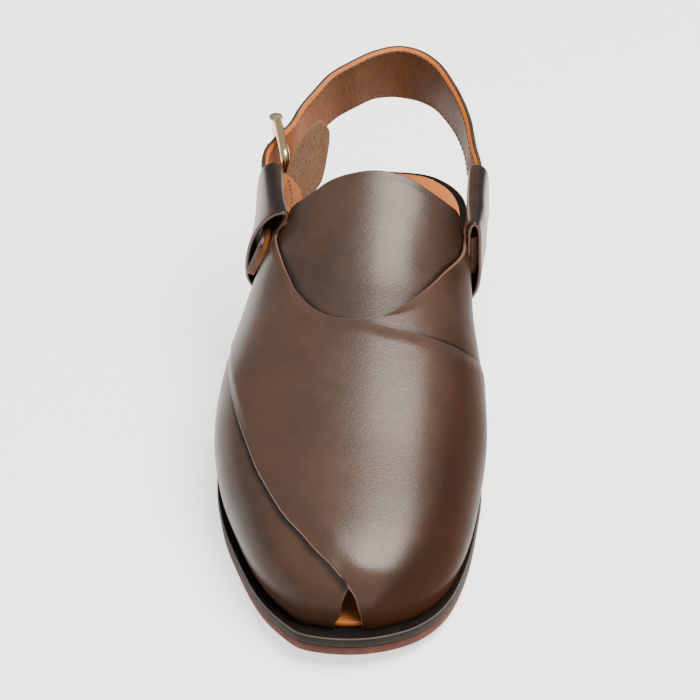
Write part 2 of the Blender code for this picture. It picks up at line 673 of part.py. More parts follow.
def build_strap(look):
    """Sweep the heel strap along its route: a flat strip on edge, with rounded corners."""
    middles, ups, widths = strap_path()
    lengths = np.concatenate([[0], np.cumsum(np.linalg.norm(np.diff(middles, axis=0), axis=1))])
    where = np.linspace(0, lengths[-1], STRAP_STATIONS)
    line = np.stack([smooth_curve(lengths, middles[:, axis], where) for axis in range(3)], 1)
    up = np.stack([smooth_curve(lengths, ups[:, axis], where) for axis in range(3)], 1)
    width = smooth_curve(lengths, widths, where)
    ahead = np.gradient(line, axis=0)
    ahead /= np.linalg.norm(ahead, axis=1, keepdims=True)
    up -= ahead * np.sum(up * ahead, 1, keepdims=True)
    up /= np.linalg.norm(up, axis=1, keepdims=True)
    out = np.cross(up, ahead)
    half = STRAP_THICKNESS / 2
    round_ = STRAP_EDGE_RADIUS
    taper = np.clip(where / STRAP_TIP_LENGTH, 0.0, 1.0)
    tip = STRAP_TIP_SHARE + (1 - STRAP_TIP_SHARE) * np.sqrt(1 - (1 - taper) ** 2)
    reach = (width / 2 * tip)[:, None]
    corners = [(-half + round_, -1, 0.0), (half - round_, -1, 0.0), (half, -1, round_), (half, 1, -round_),
               (half - round_, 1, 0.0), (-half + round_, 1, 0.0), (-half, 1, -round_), (-half, -1, round_)]
    sections = np.stack([line + out * side + up * (reach * end + shift) for side, end, shift in corners], 1)
    return sweep("heel_strap", sections, look)


def tube(points, radius, closed, sides=12):
    """Give rings of points round a wire.

    Args:
        points: (n, 3) middle line.
        radius: wire radius.
        closed: whether the wire is a closed ring.
        sides: points round the wire.

    Returns:
        (n, sides, 3) points.
    """
    if closed:
        ahead = np.roll(points, -1, 0) - np.roll(points, 1, 0)
    else:
        ahead = np.gradient(points, axis=0)
    ahead /= np.linalg.norm(ahead, axis=1, keepdims=True)
    side = np.cross(ahead, np.broadcast_to([1.0, 0.12, 0.0], ahead.shape))
    side /= np.linalg.norm(side, axis=1, keepdims=True)
    other = np.cross(ahead, side)
    angle = np.linspace(0, 2 * math.pi, sides, endpoint=False)
    return points[:, None] + radius * (side[:, None] * np.cos(angle)[None, :, None]
                                       + other[:, None] * np.sin(angle)[None, :, None])


def buckle_plane(share, level):
    """Point on the buckle's plane: share 0 at the front bar, 1 at the rear bar; level is a share of the instep."""
    x = BUCKLE_FRONT[0] + (BUCKLE_REAR[0] - BUCKLE_FRONT[0]) * share
    y = BUCKLE_FRONT[1] + (BUCKLE_REAR[1] - BUCKLE_FRONT[1]) * share
    return np.array([x * BALL_WIDTH, y * SOLE_LENGTH - SOLE_LENGTH / 2, level * INSTEP])


def build_buckle(look):
    """Make the buckle's frame as a closed wire ring and its prong as a short wire."""
    low_front, low_rear = buckle_plane(0, BUCKLE_LOW), buckle_plane(1, BUCKLE_LOW)
    high_front, high_rear = buckle_plane(0, BUCKLE_HIGH), buckle_plane(1, BUCKLE_HIGH)
    corners = [low_front, low_rear, high_rear, high_front]
    ring = []
    for index, corner in enumerate(corners):
        back = corners[index - 1] - corner
        on = corners[(index + 1) % 4] - corner
        back, on = back / np.linalg.norm(back), on / np.linalg.norm(on)
        centre = corner + (back + on) * BUCKLE_CORNER
        for angle in np.linspace(0, math.pi / 2, 5):
            ring.append(centre - on * BUCKLE_CORNER * math.cos(angle) - back * BUCKLE_CORNER * math.sin(angle))
    sections = tube(np.array(ring), BUCKLE_WIRE / 2, True)
    count, sides = sections.shape[:2]
    faces = [[row * sides + col, row * sides + (col + 1) % sides, (row + 1) % count * sides + (col + 1) % sides,
              (row + 1) % count * sides + col] for row in range(count) for col in range(sides)]
    add_object("buckle_frame", sections.reshape(-1, 3), faces, look)
    start, end = buckle_plane(0, PRONG_LEVEL), buckle_plane(1, PRONG_LEVEL)
    ahead = (end - start) / np.linalg.norm(end - start)
    out = np.array([-ahead[1], ahead[0], 0.0])
    out *= math.copysign(1.0, -out[0])
    rest = (BUCKLE_WIRE + PRONG_WIRE) / 2 + GAP
    line = np.array([start + ahead * (BUCKLE_WIRE / 2 + PRONG_WIRE / 2 + GAP),
                     start + ahead * 0.006 + out * 0.0012,
                     start + (end - start) * 0.6 + out * rest * 0.7,
                     end + out * rest, end + ahead * PRONG_OVERHANG + out * rest])
    lengths = np.concatenate([[0], np.cumsum(np.linalg.norm(np.diff(line, axis=0), axis=1))])
    where = np.linspace(0, lengths[-1], 14)
    fine = np.stack([smooth_curve(lengths, line[:, axis], where) for axis in range(3)], 1)
    sweep("buckle_prong", tube(fine, PRONG_WIRE / 2, False, 10), look)
    return fine


def cut_prong_hole(strap, line):
    """Cut the hole that the prong goes through out of the strap."""
    cutter = sweep("prong_hole", tube(line, PRONG_WIRE / 2 + PRONG_HOLE, False, 10), strap.data.materials[0])
    cut = strap.modifiers.new("hole", "BOOLEAN")
    cut.operation = "DIFFERENCE"
    cut.solver = "EXACT"
    cut.object = cutter
    cutter.hide_render = True
    cutter.display_type = "WIRE"


def build_flap(look):
    """Make the guard flap, a thin upright tab that curves in behind the buckle."""
    rows = np.array([(x * BALL_WIDTH, share * SOLE_LENGTH - SOLE_LENGTH / 2, low * INSTEP, high * INSTEP)
                     for x, share, low, high in FLAP])
    lengths = np.concatenate([[0], np.cumsum(np.linalg.norm(np.diff(rows[:, :2], axis=0), axis=1))])
    where = np.linspace(0, lengths[-1], 16)
    x, y, low, high = (smooth_curve(lengths, rows[:, column], where) for column in range(4))
    ahead = np.stack([np.gradient(x), np.gradient(y)], 1)
    ahead /= np.linalg.norm(ahead, axis=1, keepdims=True)
    out = np.stack([-ahead[:, 1], ahead[:, 0], 0 * x], 1) * FLAP_THICKNESS / 2
    bottom, top = np.stack([x, y, low], 1), np.stack([x, y, high], 1)
    sections = np.stack([bottom + out, bottom - out, top - out, top + out], 1)
    return sweep("buckle_flap", sections, look)


def centre_on_origin():
    """Shift every node so that their common box is centred on x and y and stands on z = 0."""
    bpy.context.view_layer.update()
    shown = [thing for thing in bpy.data.objects if not thing.hide_render]
    graph = bpy.context.evaluated_depsgraph_get()
    corners = np.array([tuple(corner) for thing in shown for corner in thing.evaluated_get(graph).bound_box])
    low, high = corners.min(0), corners.max(0)
    shift = Vector((-(low[0] + high[0]) / 2, -(low[1] + high[1]) / 2, -low[2]))
    for thing in bpy.data.objects:
        for vertex in thing.data.vertices:
            vertex.co += shift


def main():
    """Build the shoe."""
    clear_scene()
    looks = {
        "leather": material("dark_brown_leather", (0.09, 0.045, 0.028), 0.35),
        "strap": material("strap_leather", (0.085, 0.042, 0.026), 0.4),
        "tongue": material("tongue_leather", (0.085, 0.043, 0.027), 0.36),
        "lining": material("tan_lining", (0.42, 0.20, 0.085), 0.5),
        "suede": material("brown_suede", (0.16, 0.085, 0.045), 0.95),
        "midsole": material("black_welt", (0.02, 0.017, 0.015), 0.6),
        "outsole": material("red_brown_sole", (0.14, 0.045, 0.032), 0.5),
        "gold": material("pale_gold", (0.75, 0.6, 0.38), 0.22, 1.0),
    }
    flat_map = FlatMap()
    build_sole(looks)
    build_upper(flat_map, looks["leather"])
    build_tongue(flat_map, looks["tongue"])
    strap = build_strap(looks["strap"])
    cut_prong_hole(strap, build_buckle(looks["gold"]))
    build_flap(looks["suede"])
    centre_on_origin()


main()
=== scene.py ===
"""Peshawari chappal, the wearer's right shoe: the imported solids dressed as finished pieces.

Every place is in metres, in the frame of the solids: the toe to -Y, the heel to +Y, the buckled outer side
to -X and the ground at z = 0. Places on the upper are shares of the last: a run from the toe to the heel and
a girth from -1 at the outer edge of the sole over 0 on the ridge to 1 at the inner edge.
"""
import logging
import math
from dataclasses import dataclass, field
from enum import Enum
from typing import Callable, Sequence

import bmesh
import bpy
import numpy as np
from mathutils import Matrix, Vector


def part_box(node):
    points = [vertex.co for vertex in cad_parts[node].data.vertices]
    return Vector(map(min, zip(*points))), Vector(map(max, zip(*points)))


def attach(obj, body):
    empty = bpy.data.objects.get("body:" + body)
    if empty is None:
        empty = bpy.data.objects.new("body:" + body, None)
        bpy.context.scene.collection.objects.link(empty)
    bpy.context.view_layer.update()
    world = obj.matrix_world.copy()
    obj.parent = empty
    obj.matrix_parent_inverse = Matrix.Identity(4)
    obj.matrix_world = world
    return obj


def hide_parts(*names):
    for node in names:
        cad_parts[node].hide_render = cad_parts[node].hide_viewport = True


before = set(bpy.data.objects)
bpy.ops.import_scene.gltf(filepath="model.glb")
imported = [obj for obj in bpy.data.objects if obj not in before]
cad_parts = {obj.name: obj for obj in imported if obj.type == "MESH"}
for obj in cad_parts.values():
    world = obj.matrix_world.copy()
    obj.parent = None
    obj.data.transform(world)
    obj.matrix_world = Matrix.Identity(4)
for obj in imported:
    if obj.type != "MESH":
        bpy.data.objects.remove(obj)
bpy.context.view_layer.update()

Array = np.ndarray
Places = Sequence[tuple[float, float]]
Profile = Sequence[tuple[float, float, float]]
Material, Node = bpy.types.Material, bpy.types.Node
log = logging.getLogger("chappal")

# Edge of the sole: share of its length, outer x and inner x as shares of the ball width
SOLE_EDGE = np.array([
    (0.0, -0.028, -0.028), (0.0082, -0.167, 0.106), (0.0356, -0.250, 0.239), (0.078, -0.331, 0.327),
    (0.163, -0.430, 0.400), (0.257, -0.512, 0.435), (0.350, -0.550, 0.448), (0.445, -0.540, 0.415),
    (0.550, -0.475, 0.345), (0.650, -0.390, 0.300), (0.770, -0.335, 0.325), (0.877, -0.315, 0.356),
    (0.939, -0.280, 0.327), (0.977, -0.205, 0.251), (0.998, -0.074, 0.124), (1.0, 0.024, 0.024),
])

# Last: share of the form length, ridge rise / instep, ridge x / ball width, then how far the outer and
# the inner flank bulge low down and high up
LAST_ROWS = np.array([
    (0.0, 0.0, -0.020, 0.10, 0.35, 0.10, 0.35), (0.0036, 0.105, -0.020, 0.12, 0.35, 0.12, 0.35),
    (0.0127, 0.185, -0.015, 0.15, 0.33, 0.15, 0.33), (0.029, 0.253, -0.010, 0.22, 0.28, 0.22, 0.28),
    (0.0598, 0.315, -0.005, 0.30, 0.20, 0.30, 0.20), (0.1286, 0.407, 0.000, 0.38, 0.10, 0.38, 0.10),
    (0.2192, 0.519, 0.005, 0.42, 0.00, 0.40, 0.00), (0.3279, 0.660, 0.010, 0.44, -0.02, 0.43, 0.00),
    (0.4366, 0.796, 0.010, 0.44, -0.05, 0.54, -0.05), (0.5453, 0.920, 0.005, 0.44, 0.03, 0.80, -0.15),
    (0.6431, 1.0, 0.000, 0.32, 0.30, 0.55, 0.75), (0.817, 1.21, 0.000, 0.92, 0.00, 0.65, 0.00),
])

# Edges of the two crossing bands and of the tongue, as (run, girth) places
SLIT_INNER = [(0.002, 1.0), (0.0025, 0.498), (0.0043, 0.256), (0.0083, 0.129), (0.0127, 0.045),
              (0.0149, 0.010)]
SLIT_OUTER = [(0.0149, 0.010), (0.0098, -0.013), (0.0069, -0.036), (0.0033, -0.069), (0.0012, -0.20),
              (0.0006, -0.55), (0.0005, -1.0)]
TOP_BAND_FRONT = [(0.0149, 0.010), (0.0175, -0.016), (0.030, -0.107), (0.0507, -0.202), (0.0775, -0.264),
                  (0.1138, -0.338), (0.1623, -0.398), (0.2076, -0.440), (0.2518, -0.464), (0.2917, -0.489),
                  (0.330, -0.513), (0.3725, -0.547), (0.402, -0.575)]
TOP_BAND_LEG = [(0.402, -0.575), (0.430, -0.598), (0.456, -0.635), (0.476, -0.70), (0.489, -0.82),
                (0.492, -1.0)]
LOW_BAND_CORNER = [(0.457, -1.0), (0.459, -0.82), (0.455, -0.73), (0.441, -0.665), (0.422, -0.625),
                   (0.402, -0.575)]
LEG_REAR = [(0.672, -1.0), (0.700, -0.94), (0.727, -0.85), (0.738, -0.74), (0.739, -0.63)]
LEG_TOP = [(0.739, -0.63), (0.690, -0.559), (0.643, -0.497), (0.610, -0.480)]
TOP_BAND_REAR_OUTER = [(0.610, -0.480), (0.579, -0.420), (0.557, -0.382), (0.5366, -0.351),
                       (0.514, -0.316), (0.4935, -0.287), (0.467, -0.240), (0.445, -0.193),
                       (0.4286, -0.138), (0.421, -0.084), (0.416, -0.010)]
LOW_BAND_TOP = [(0.416, -0.010), (0.4264, 0.051), (0.443, 0.113), (0.4703, 0.196), (0.5076, 0.293),
                (0.545, 0.378), (0.568, 0.429), (0.592, 0.478), (0.610, 0.506)]
INNER_LEG_TOP = [(0.610, 0.506), (0.643, 0.505), (0.690, 0.560), (0.739, 0.63)]
LOW_BAND_LEG = [(0.496, 1.0), (0.486, 0.86), (0.4655, 0.735)]
TOP_BAND_REAR_INNER = [(0.416, -0.010), (0.4098, 0.051), (0.4076, 0.144), (0.4076, 0.253),
                       (0.4145, 0.382), (0.4232, 0.471), (0.441, 0.580), (0.460, 0.662), (0.4655, 0.735)]
TOP_BAND_CORNER = [(0.4655, 0.735), (0.463, 0.85), (0.459, 1.0)]
# Front edge of the lower band under the upper one: girth, run
HIDDEN_FRONT = np.array([(-0.10, 0.002), (0.0, 0.012), (0.107, 0.030), (0.202, 0.0507), (0.264, 0.0775),
                         (0.338, 0.1138), (0.398, 0.1623), (0.440, 0.2076), (0.489, 0.2917),
                         (0.547, 0.3725), (0.60, 0.420), (0.735, 0.4655), (1.0, 0.496)])
# Rear edge of the lower band under the upper one
HIDDEN_REAR = [(0.402, -0.575), (0.395, -0.40), (0.400, -0.18), (0.416, -0.010)]
TONGUE_TOP = [(0.630, -0.50), (0.6425, -0.416), (0.6395, -0.333), (0.6425, -0.227), (0.647, -0.147),
              (0.650, -0.078), (0.652, 0.0), (0.650, 0.107), (0.6455, 0.180), (0.6415, 0.253),
              (0.6415, 0.340), (0.648, 0.447), (0.645, 0.52)]
TONGUE_INNER = [(0.480, 0.62), (0.560, 0.66), (0.615, 0.62), (0.645, 0.52)]
TONGUE_FRONT = [(0.480, -0.62), (0.400, -0.48), (0.380, -0.34), (0.370, -0.18), (0.366, 0.0),
                (0.370, 0.18), (0.385, 0.36), (0.415, 0.50), (0.480, 0.62)]
TONGUE_OUTER = [(0.480, -0.62), (0.560, -0.66), (0.605, -0.60), (0.630, -0.50)]

# Loop profile: stand-off from the middle of the leg's wall in metres, height above the ground / instep
LOOP_PROFILE = np.array([
    (0.0, 0.800), (0.0, 0.920), (0.0, 0.975), (0.0009, 1.012), (0.0032, 1.030), (0.0058, 1.012),
    (0.0069, 0.965), (0.0073, 0.860), (0.0075, 0.750), (0.0075, 0.660), (0.0066, 0.600), (0.0036, 0.550),
    (0.0003, 0.520)])
# Heel strap outside the loops: x / ball width, share of the sole length, mid height / instep, width share
STRAP_ROUTE = [(-0.4350, 0.7463, 0.908, 0.78), (-0.4330, 0.7768, 0.925, 0.78),
               (-0.3980, 0.8040, 0.936, 0.78), (-0.3450, 0.8325, 0.960, 0.78),
               (-0.3080, 0.8610, 0.993, 0.78), (-0.2540, 0.8880, 1.032, 0.80),
               (-0.1980, 0.9105, 1.070, 0.83), (-0.1060, 0.9310, 1.118, 0.84),
               (-0.0240, 0.9485, 1.135, 0.875), (0.0600, 0.9575, 1.129, 0.96),
               (0.1380, 0.9510, 1.125, 0.94), (0.1970, 0.9365, 1.113, 0.87),
               (0.2770, 0.8965, 1.077, 0.77), (0.3390, 0.8440, 1.028, 0.73),
               (0.3700, 0.7864, 0.976, 0.75), (0.3930, 0.7500, 0.928, 0.78)]
STRAP_IN_LOOP = [(0.592, 0.780), (0.630, 0.800), (0.680, 0.833), (0.722, 0.868)]
# Guard flap: x / ball width, share of the sole length, low and high edge / instep
FLAP_ROWS = np.array([
    (-0.3520, 0.7000, 0.815, 0.955), (-0.3520, 0.7220, 0.815, 0.995), (-0.3250, 0.7430, 0.770, 1.110),
    (-0.3060, 0.7570, 0.752, 1.155), (-0.2830, 0.7710, 0.750, 1.178), (-0.2550, 0.7890, 0.763, 1.187),
    (-0.2230, 0.8060, 0.815, 1.172), (-0.1980, 0.8180, 0.935, 1.125)])


class Side(Enum):
    """Side of the shoe, as the sign of x."""

    OUTER = -1
    INNER = 1


# Curves and meshes

def smooth_curve(places: Array, values: Array, where: Array) -> Array:
    """Read a cubic through table rows whose slope at a row is the weighted mean of its neighbours'.

    Args:
        places: rising row positions.
        values: row values.
        where: positions to read.

    Returns:
        The curve's values.
    """
    where = np.clip(where, places[0], places[-1])
    steps = np.diff(places)
    slopes = np.diff(values) / steps
    middle = (slopes[:-1] * steps[1:] + slopes[1:] * steps[:-1]) / (steps[:-1] + steps[1:])
    at_rows = np.concatenate([slopes[:1], middle, slopes[-1:]])
    row = np.clip(np.searchsorted(places, where) - 1, 0, len(places) - 2)
    part = (where - places[row]) / steps[row]
    start = (values[row] * (1 + 2 * part) + steps[row] * at_rows[row] * part) * (1 - part) ** 2
    end = (values[row + 1] * (3 - 2 * part) + steps[row] * at_rows[row + 1] * (part - 1)) * part ** 2
    return start + end


def run_lengths(points: Array) -> Array:
    """Running length of a line of points, from 0 at its first point."""
    return np.concatenate([[0], np.cumsum(np.linalg.norm(np.diff(points, axis=0), axis=1))])


def smooth_path(points: Array, count: int) -> Array:
    """Carry a smooth curve through points and read it at even steps of its length.

    Args:
        points: (n, dims) points.
        count: number of points to give back.

    Returns:
        (count, dims) points.
    """
    lengths = run_lengths(points)
    where = np.linspace(0, lengths[-1], count)
    return np.stack([smooth_curve(lengths, points[:, axis], where) for axis in range(points.shape[1])], 1)


def ease(value: Array) -> Array:
    """Rise smoothly from 0 to 1 as the value does: 3v² - 2v³."""
    value = np.clip(value, 0, 1)
    return value * value * (3 - 2 * value)


def fade(value: Array, amount: float, start: float, width: float) -> Array:
    """Rise smoothly from 0 to an amount as the value goes from a start over a width."""
    return amount * ease((value - start) / width)


def evened(values: Array, steps: int) -> Array:
    """Even out a row of values: a mean over the steps on both sides, weighted by a raised cosine."""
    weight = 1 + np.cos(np.linspace(-math.pi, math.pi, 2 * steps + 1))
    return np.convolve(np.pad(values, steps, mode="edge"), weight / weight.sum(), "valid")


def unit(vectors: Array) -> Array:
    """Scale vectors on the last axis to length 1."""
    return vectors / np.maximum(np.linalg.norm(vectors, axis=-1, keepdims=True), 1e-12)


def grid_faces(rows: int, columns: int, offset: int = 0, round_columns: bool = False) -> Array:
    """Give the quads of a grid of vertices numbered row by row.

    Args:
        rows: number of rows.
        columns: number of columns.
        offset: index of the first vertex.
        round_columns: whether the last column joins the first.

    Returns:
        (n, 4) vertex indices.
    """
    row, column = np.meshgrid(np.arange(rows - 1), np.arange(columns if round_columns else columns - 1),
                              indexing="ij")
    following = (column + 1) % columns
    quads = np.stack([row * columns + column, row * columns + following,
                      (row + 1) * columns + following, (row + 1) * columns + column], -1)
    return quads.reshape(-1, 4) + offset


def rim_faces(rows: int, columns: int) -> Array:
    """Give the quads that join the border of an outer grid to an inner grid of the same size after it."""
    index = np.arange(rows * columns).reshape(rows, columns)
    border = np.concatenate([index[0, :-1], index[:-1, -1], index[-1, :0:-1], index[:0:-1, 0]])
    following = np.roll(border, -1)
    return np.stack([border, border + rows * columns, following + rows * columns, following], 1)


@dataclass
class Form:
    """A mesh in the making: vertices, quads, the material slot of each quad and its named attributes."""

    points: Array
    faces: Array
    slots: Array | None = None
    uv: Array | None = None
    attributes: dict[str, Array] = field(default_factory=dict)

    def object(self, name: str, looks: Sequence[Material], nodes: Sequence[str], slot: str,
               crease: float = 40.0) -> bpy.types.Object:
        """Make the object, turn its faces out, shade it smooth and let it ride on the shoe.

        Args:
            name: piece name.
            looks: materials, one per slot.
            nodes: solids that the piece stands for.
            slot: material slot of the record; not used.
            crease: angle in degrees past which an edge stays sharp.

        Returns:
            The object.
        """
        mesh = bpy.data.meshes.new(name)
        mesh.from_pydata(self.points.tolist(), [], self.faces.tolist())
        for look in looks:
            mesh.materials.append(look)
        if self.slots is not None:
            mesh.polygons.foreach_set("material_index", self.slots.astype(np.int32))
        for label, values in self.attributes.items():
            made = mesh.attributes.new(label, "FLOAT", "POINT")
            made.data.foreach_set("value", values.ravel().astype(np.float32))
        corners = np.empty(len(mesh.loops), np.int32)
        mesh.loops.foreach_get("vertex_index", corners)
        uv = self.uv if self.uv is not None else self.points[:, :2]
        mesh.uv_layers.new(name="flat").data.foreach_set("uv", uv[corners].astype(np.float32).ravel())
        work = bmesh.new()
        work.from_mesh(mesh)
        bmesh.ops.remove_doubles(work, verts=work.verts, dist=0.000002)
        bmesh.ops.dissolve_degenerate(work, edges=work.edges, dist=0.000001)
        bmesh.ops.recalc_face_normals(work, faces=work.faces)
        work.to_mesh(mesh)
        work.free()
        mesh.polygons.foreach_set("use_smooth", np.ones(len(mesh.polygons), bool))
        mesh.set_sharp_from_angle(angle=math.radians(crease))
        piece = bpy.data.objects.new(name, mesh)
        bpy.context.collection.objects.link(piece)
        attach(piece, "root")
        if nodes:
            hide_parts(*nodes)
        log.info("%s: %d vertices, %d faces", name, len(mesh.vertices), len(mesh.polygons))
        return piece


def shell(outer: Array, inner: Array, attributes: dict[str, Array] | None = None,
          uv: Array | None = None) -> Form:
    """Join an outer and an inner grid of the same size into one closed wall.

    Args:
        outer: (rows, columns, 3) outer face.
        inner: (rows, columns, 3) inner face.
        attributes: values on the grid, given to both faces.
        uv: (rows, columns, 2) flat places.

    Returns:
        The form, with slot 0 outside and on the rim and slot 1 inside.
    """
    rows, columns = outer.shape[:2]
    count = rows * columns
    out, back = grid_faces(rows, columns), grid_faces(rows, columns, count)[:, ::-1]
    rim = rim_faces(rows, columns)
    slots = np.repeat([0.0, 1.0, 0.0], [len(out), len(back), len(rim)])
    both = {label: np.tile(values.ravel(), 2) for label, values in (attributes or {}).items()}
    flat = None if uv is None else np.tile(uv.reshape(-1, 2), (2, 1))
    points = np.concatenate([outer.reshape(-1, 3), inner.reshape(-1, 3)])
    return Form(points, np.concatenate([out, back, rim]), slots, flat, both)


def tube(sections: Array, closed: bool = False, attributes: dict[str, Array] | None = None,
         uv: Array | None = None, poles: tuple[bool, bool] = (True, True)) -> Form:
    """Skin rings of points. Open tubes are closed with a pole at the middle of each end ring.

    Args:
        sections: (stations, ring, 3) points.
        closed: whether the last ring joins the first.
        attributes: values on the rings.
        uv: (stations, ring, 2) flat places.
        poles: which ends get a pole. An end ring that is already closed to a line needs none.

    Returns:
        The form.
    """
    def end_filled(values: Array) -> Array:
        if closed:
            return np.concatenate([values, values[:1]])
        first, last = (np.broadcast_to(values[end].mean(0), values[end].shape)[None] for end in (0, -1))
        return np.concatenate([first] * poles[0] + [values] + [last] * poles[1])

    points = end_filled(sections)
    stations, ring = points.shape[:2]
    return Form(points.reshape(-1, 3), grid_faces(stations, ring, round_columns=True),
                uv=None if uv is None else end_filled(uv).reshape(-1, 2),
                attributes={label: end_filled(values[..., None]).ravel()
                            for label, values in (attributes or {}).items()})


def wire_rings(points: Array, radius: float, closed: bool, sides: int = 28) -> Array:
    """Give rings of points round a wire: circles square to the line."""
    ahead = np.roll(points, -1, 0) - np.roll(points, 1, 0) if closed else np.gradient(points, axis=0)
    ahead = unit(ahead)
    side = unit(np.cross(ahead, np.broadcast_to([1.0, 0.12, 0.0], ahead.shape)))
    other = np.cross(ahead, side)
    angle = np.linspace(0, 2 * math.pi, sides, endpoint=False)[:, None]
    return points[:, None] + radius * (side[:, None] * np.cos(angle) + other[:, None] * np.sin(angle))


def stitches(path: Array, side: Array, lift: Array, length: float, gap: float, thread: float) -> Form:
    """Lay a row of stitches: each is a spindle, thickest in the middle, sunk by half its thickness.

    Args:
        path: (n, 3) seam line at even steps.
        side: (n, 3) directions across the seam on the surface.
        lift: (n, 3) directions out of the surface.
        length: length of a stitch.
        gap: space to the next stitch.
        thread: thread thickness.

    Returns:
        The form.
    """
    lengths = run_lengths(path)
    centres = np.arange(gap + length / 2, lengths[-1] - length / 2, length + gap)

    def read(values: Array, where: Array) -> Array:
        return np.stack([np.interp(where, lengths, values[:, axis]) for axis in range(3)], -1)

    along = np.linspace(-1, 1, 7)
    angle = np.linspace(0, 2 * math.pi, 8, endpoint=False)
    where = centres[:, None] + along * length / 2
    girth = thread / 2 * np.sqrt(np.maximum(1 - np.abs(along) ** 3, 0.0))
    middle, across, out = read(path, where), unit(read(side, where)), unit(read(lift, where))
    around = across[:, :, None] * np.cos(angle)[:, None] * 1.15 + out[:, :, None] * np.sin(angle)[:, None]
    ring = middle[:, :, None] + girth[None, :, None, None] * around
    count, stations, sides = ring.shape[:3]
    one = grid_faces(stations, sides, round_columns=True)
    faces = (one[None] + (np.arange(count) * stations * sides)[:, None, None]).reshape(-1, 4)
    return Form(ring.reshape(-1, 3), faces)


# Finishes

def tone(colour: str) -> tuple[float, float, float, float]:
    """Turn an sRGB hex colour into linear RGBA."""
    parts = [int(colour[start:start + 2], 16) / 255 for start in (1, 3, 5)]
    linear = [part / 12.92 if part <= 0.04045 else ((part + 0.055) / 1.055) ** 2.4 for part in parts]
    return (linear[0], linear[1], linear[2], 1.0)


def per_mm(size: float) -> float:
    """Give the texture scale at which one cell is so many millimetres wide, on coordinates in metres."""
    return 1000.0 / size


def feed(node: Node, links: dict | None = None, values: dict | None = None) -> Node:
    """Feed a node's inputs and give the node back.

    Args:
        node: the node.
        links: input name or index to what feeds it, a socket or a node, whose first output in use is taken.
        values: input name or index to a constant.

    Returns:
        The node.
    """
    for label, value in (values or {}).items():
        node.inputs[label].default_value = value
    for label, source in (links or {}).items():
        if isinstance(source, Node):
            source = next(socket for socket in source.outputs if socket.enabled)
        node.id_data.links.new(source, node.inputs[label])
    return node


def add(tree: bpy.types.NodeTree, kind: str, links: dict | None = None, values: dict | None = None,
        **settings: object) -> Node:
    """Add a node of a kind, its type without ShaderNode, with its settings, links and values as for feed."""
    made = tree.nodes.new("ShaderNode" + kind)
    for label, setting in settings.items():
        setattr(made, label, setting)
    return feed(made, links, values)


def start_material(name: str) -> tuple[Material, bpy.types.NodeTree, Node, bpy.types.NodeSocket]:
    """Make a node material and give it, its tree, its Principled shader and the object coordinates."""
    made = bpy.data.materials.new(name)
    made.use_nodes = True
    tree = made.node_tree
    return made, tree, tree.nodes["Principled BSDF"], add(tree, "TexCoord").outputs["Object"]


def stops(ramp: Node, rows: Sequence[tuple[float, str]]) -> Node:
    """Set the two stops of a colour ramp from (place, hex colour) rows."""
    for element, (place, colour) in zip(ramp.color_ramp.elements, rows):
        element.position, element.color = place, tone(colour)
    return ramp


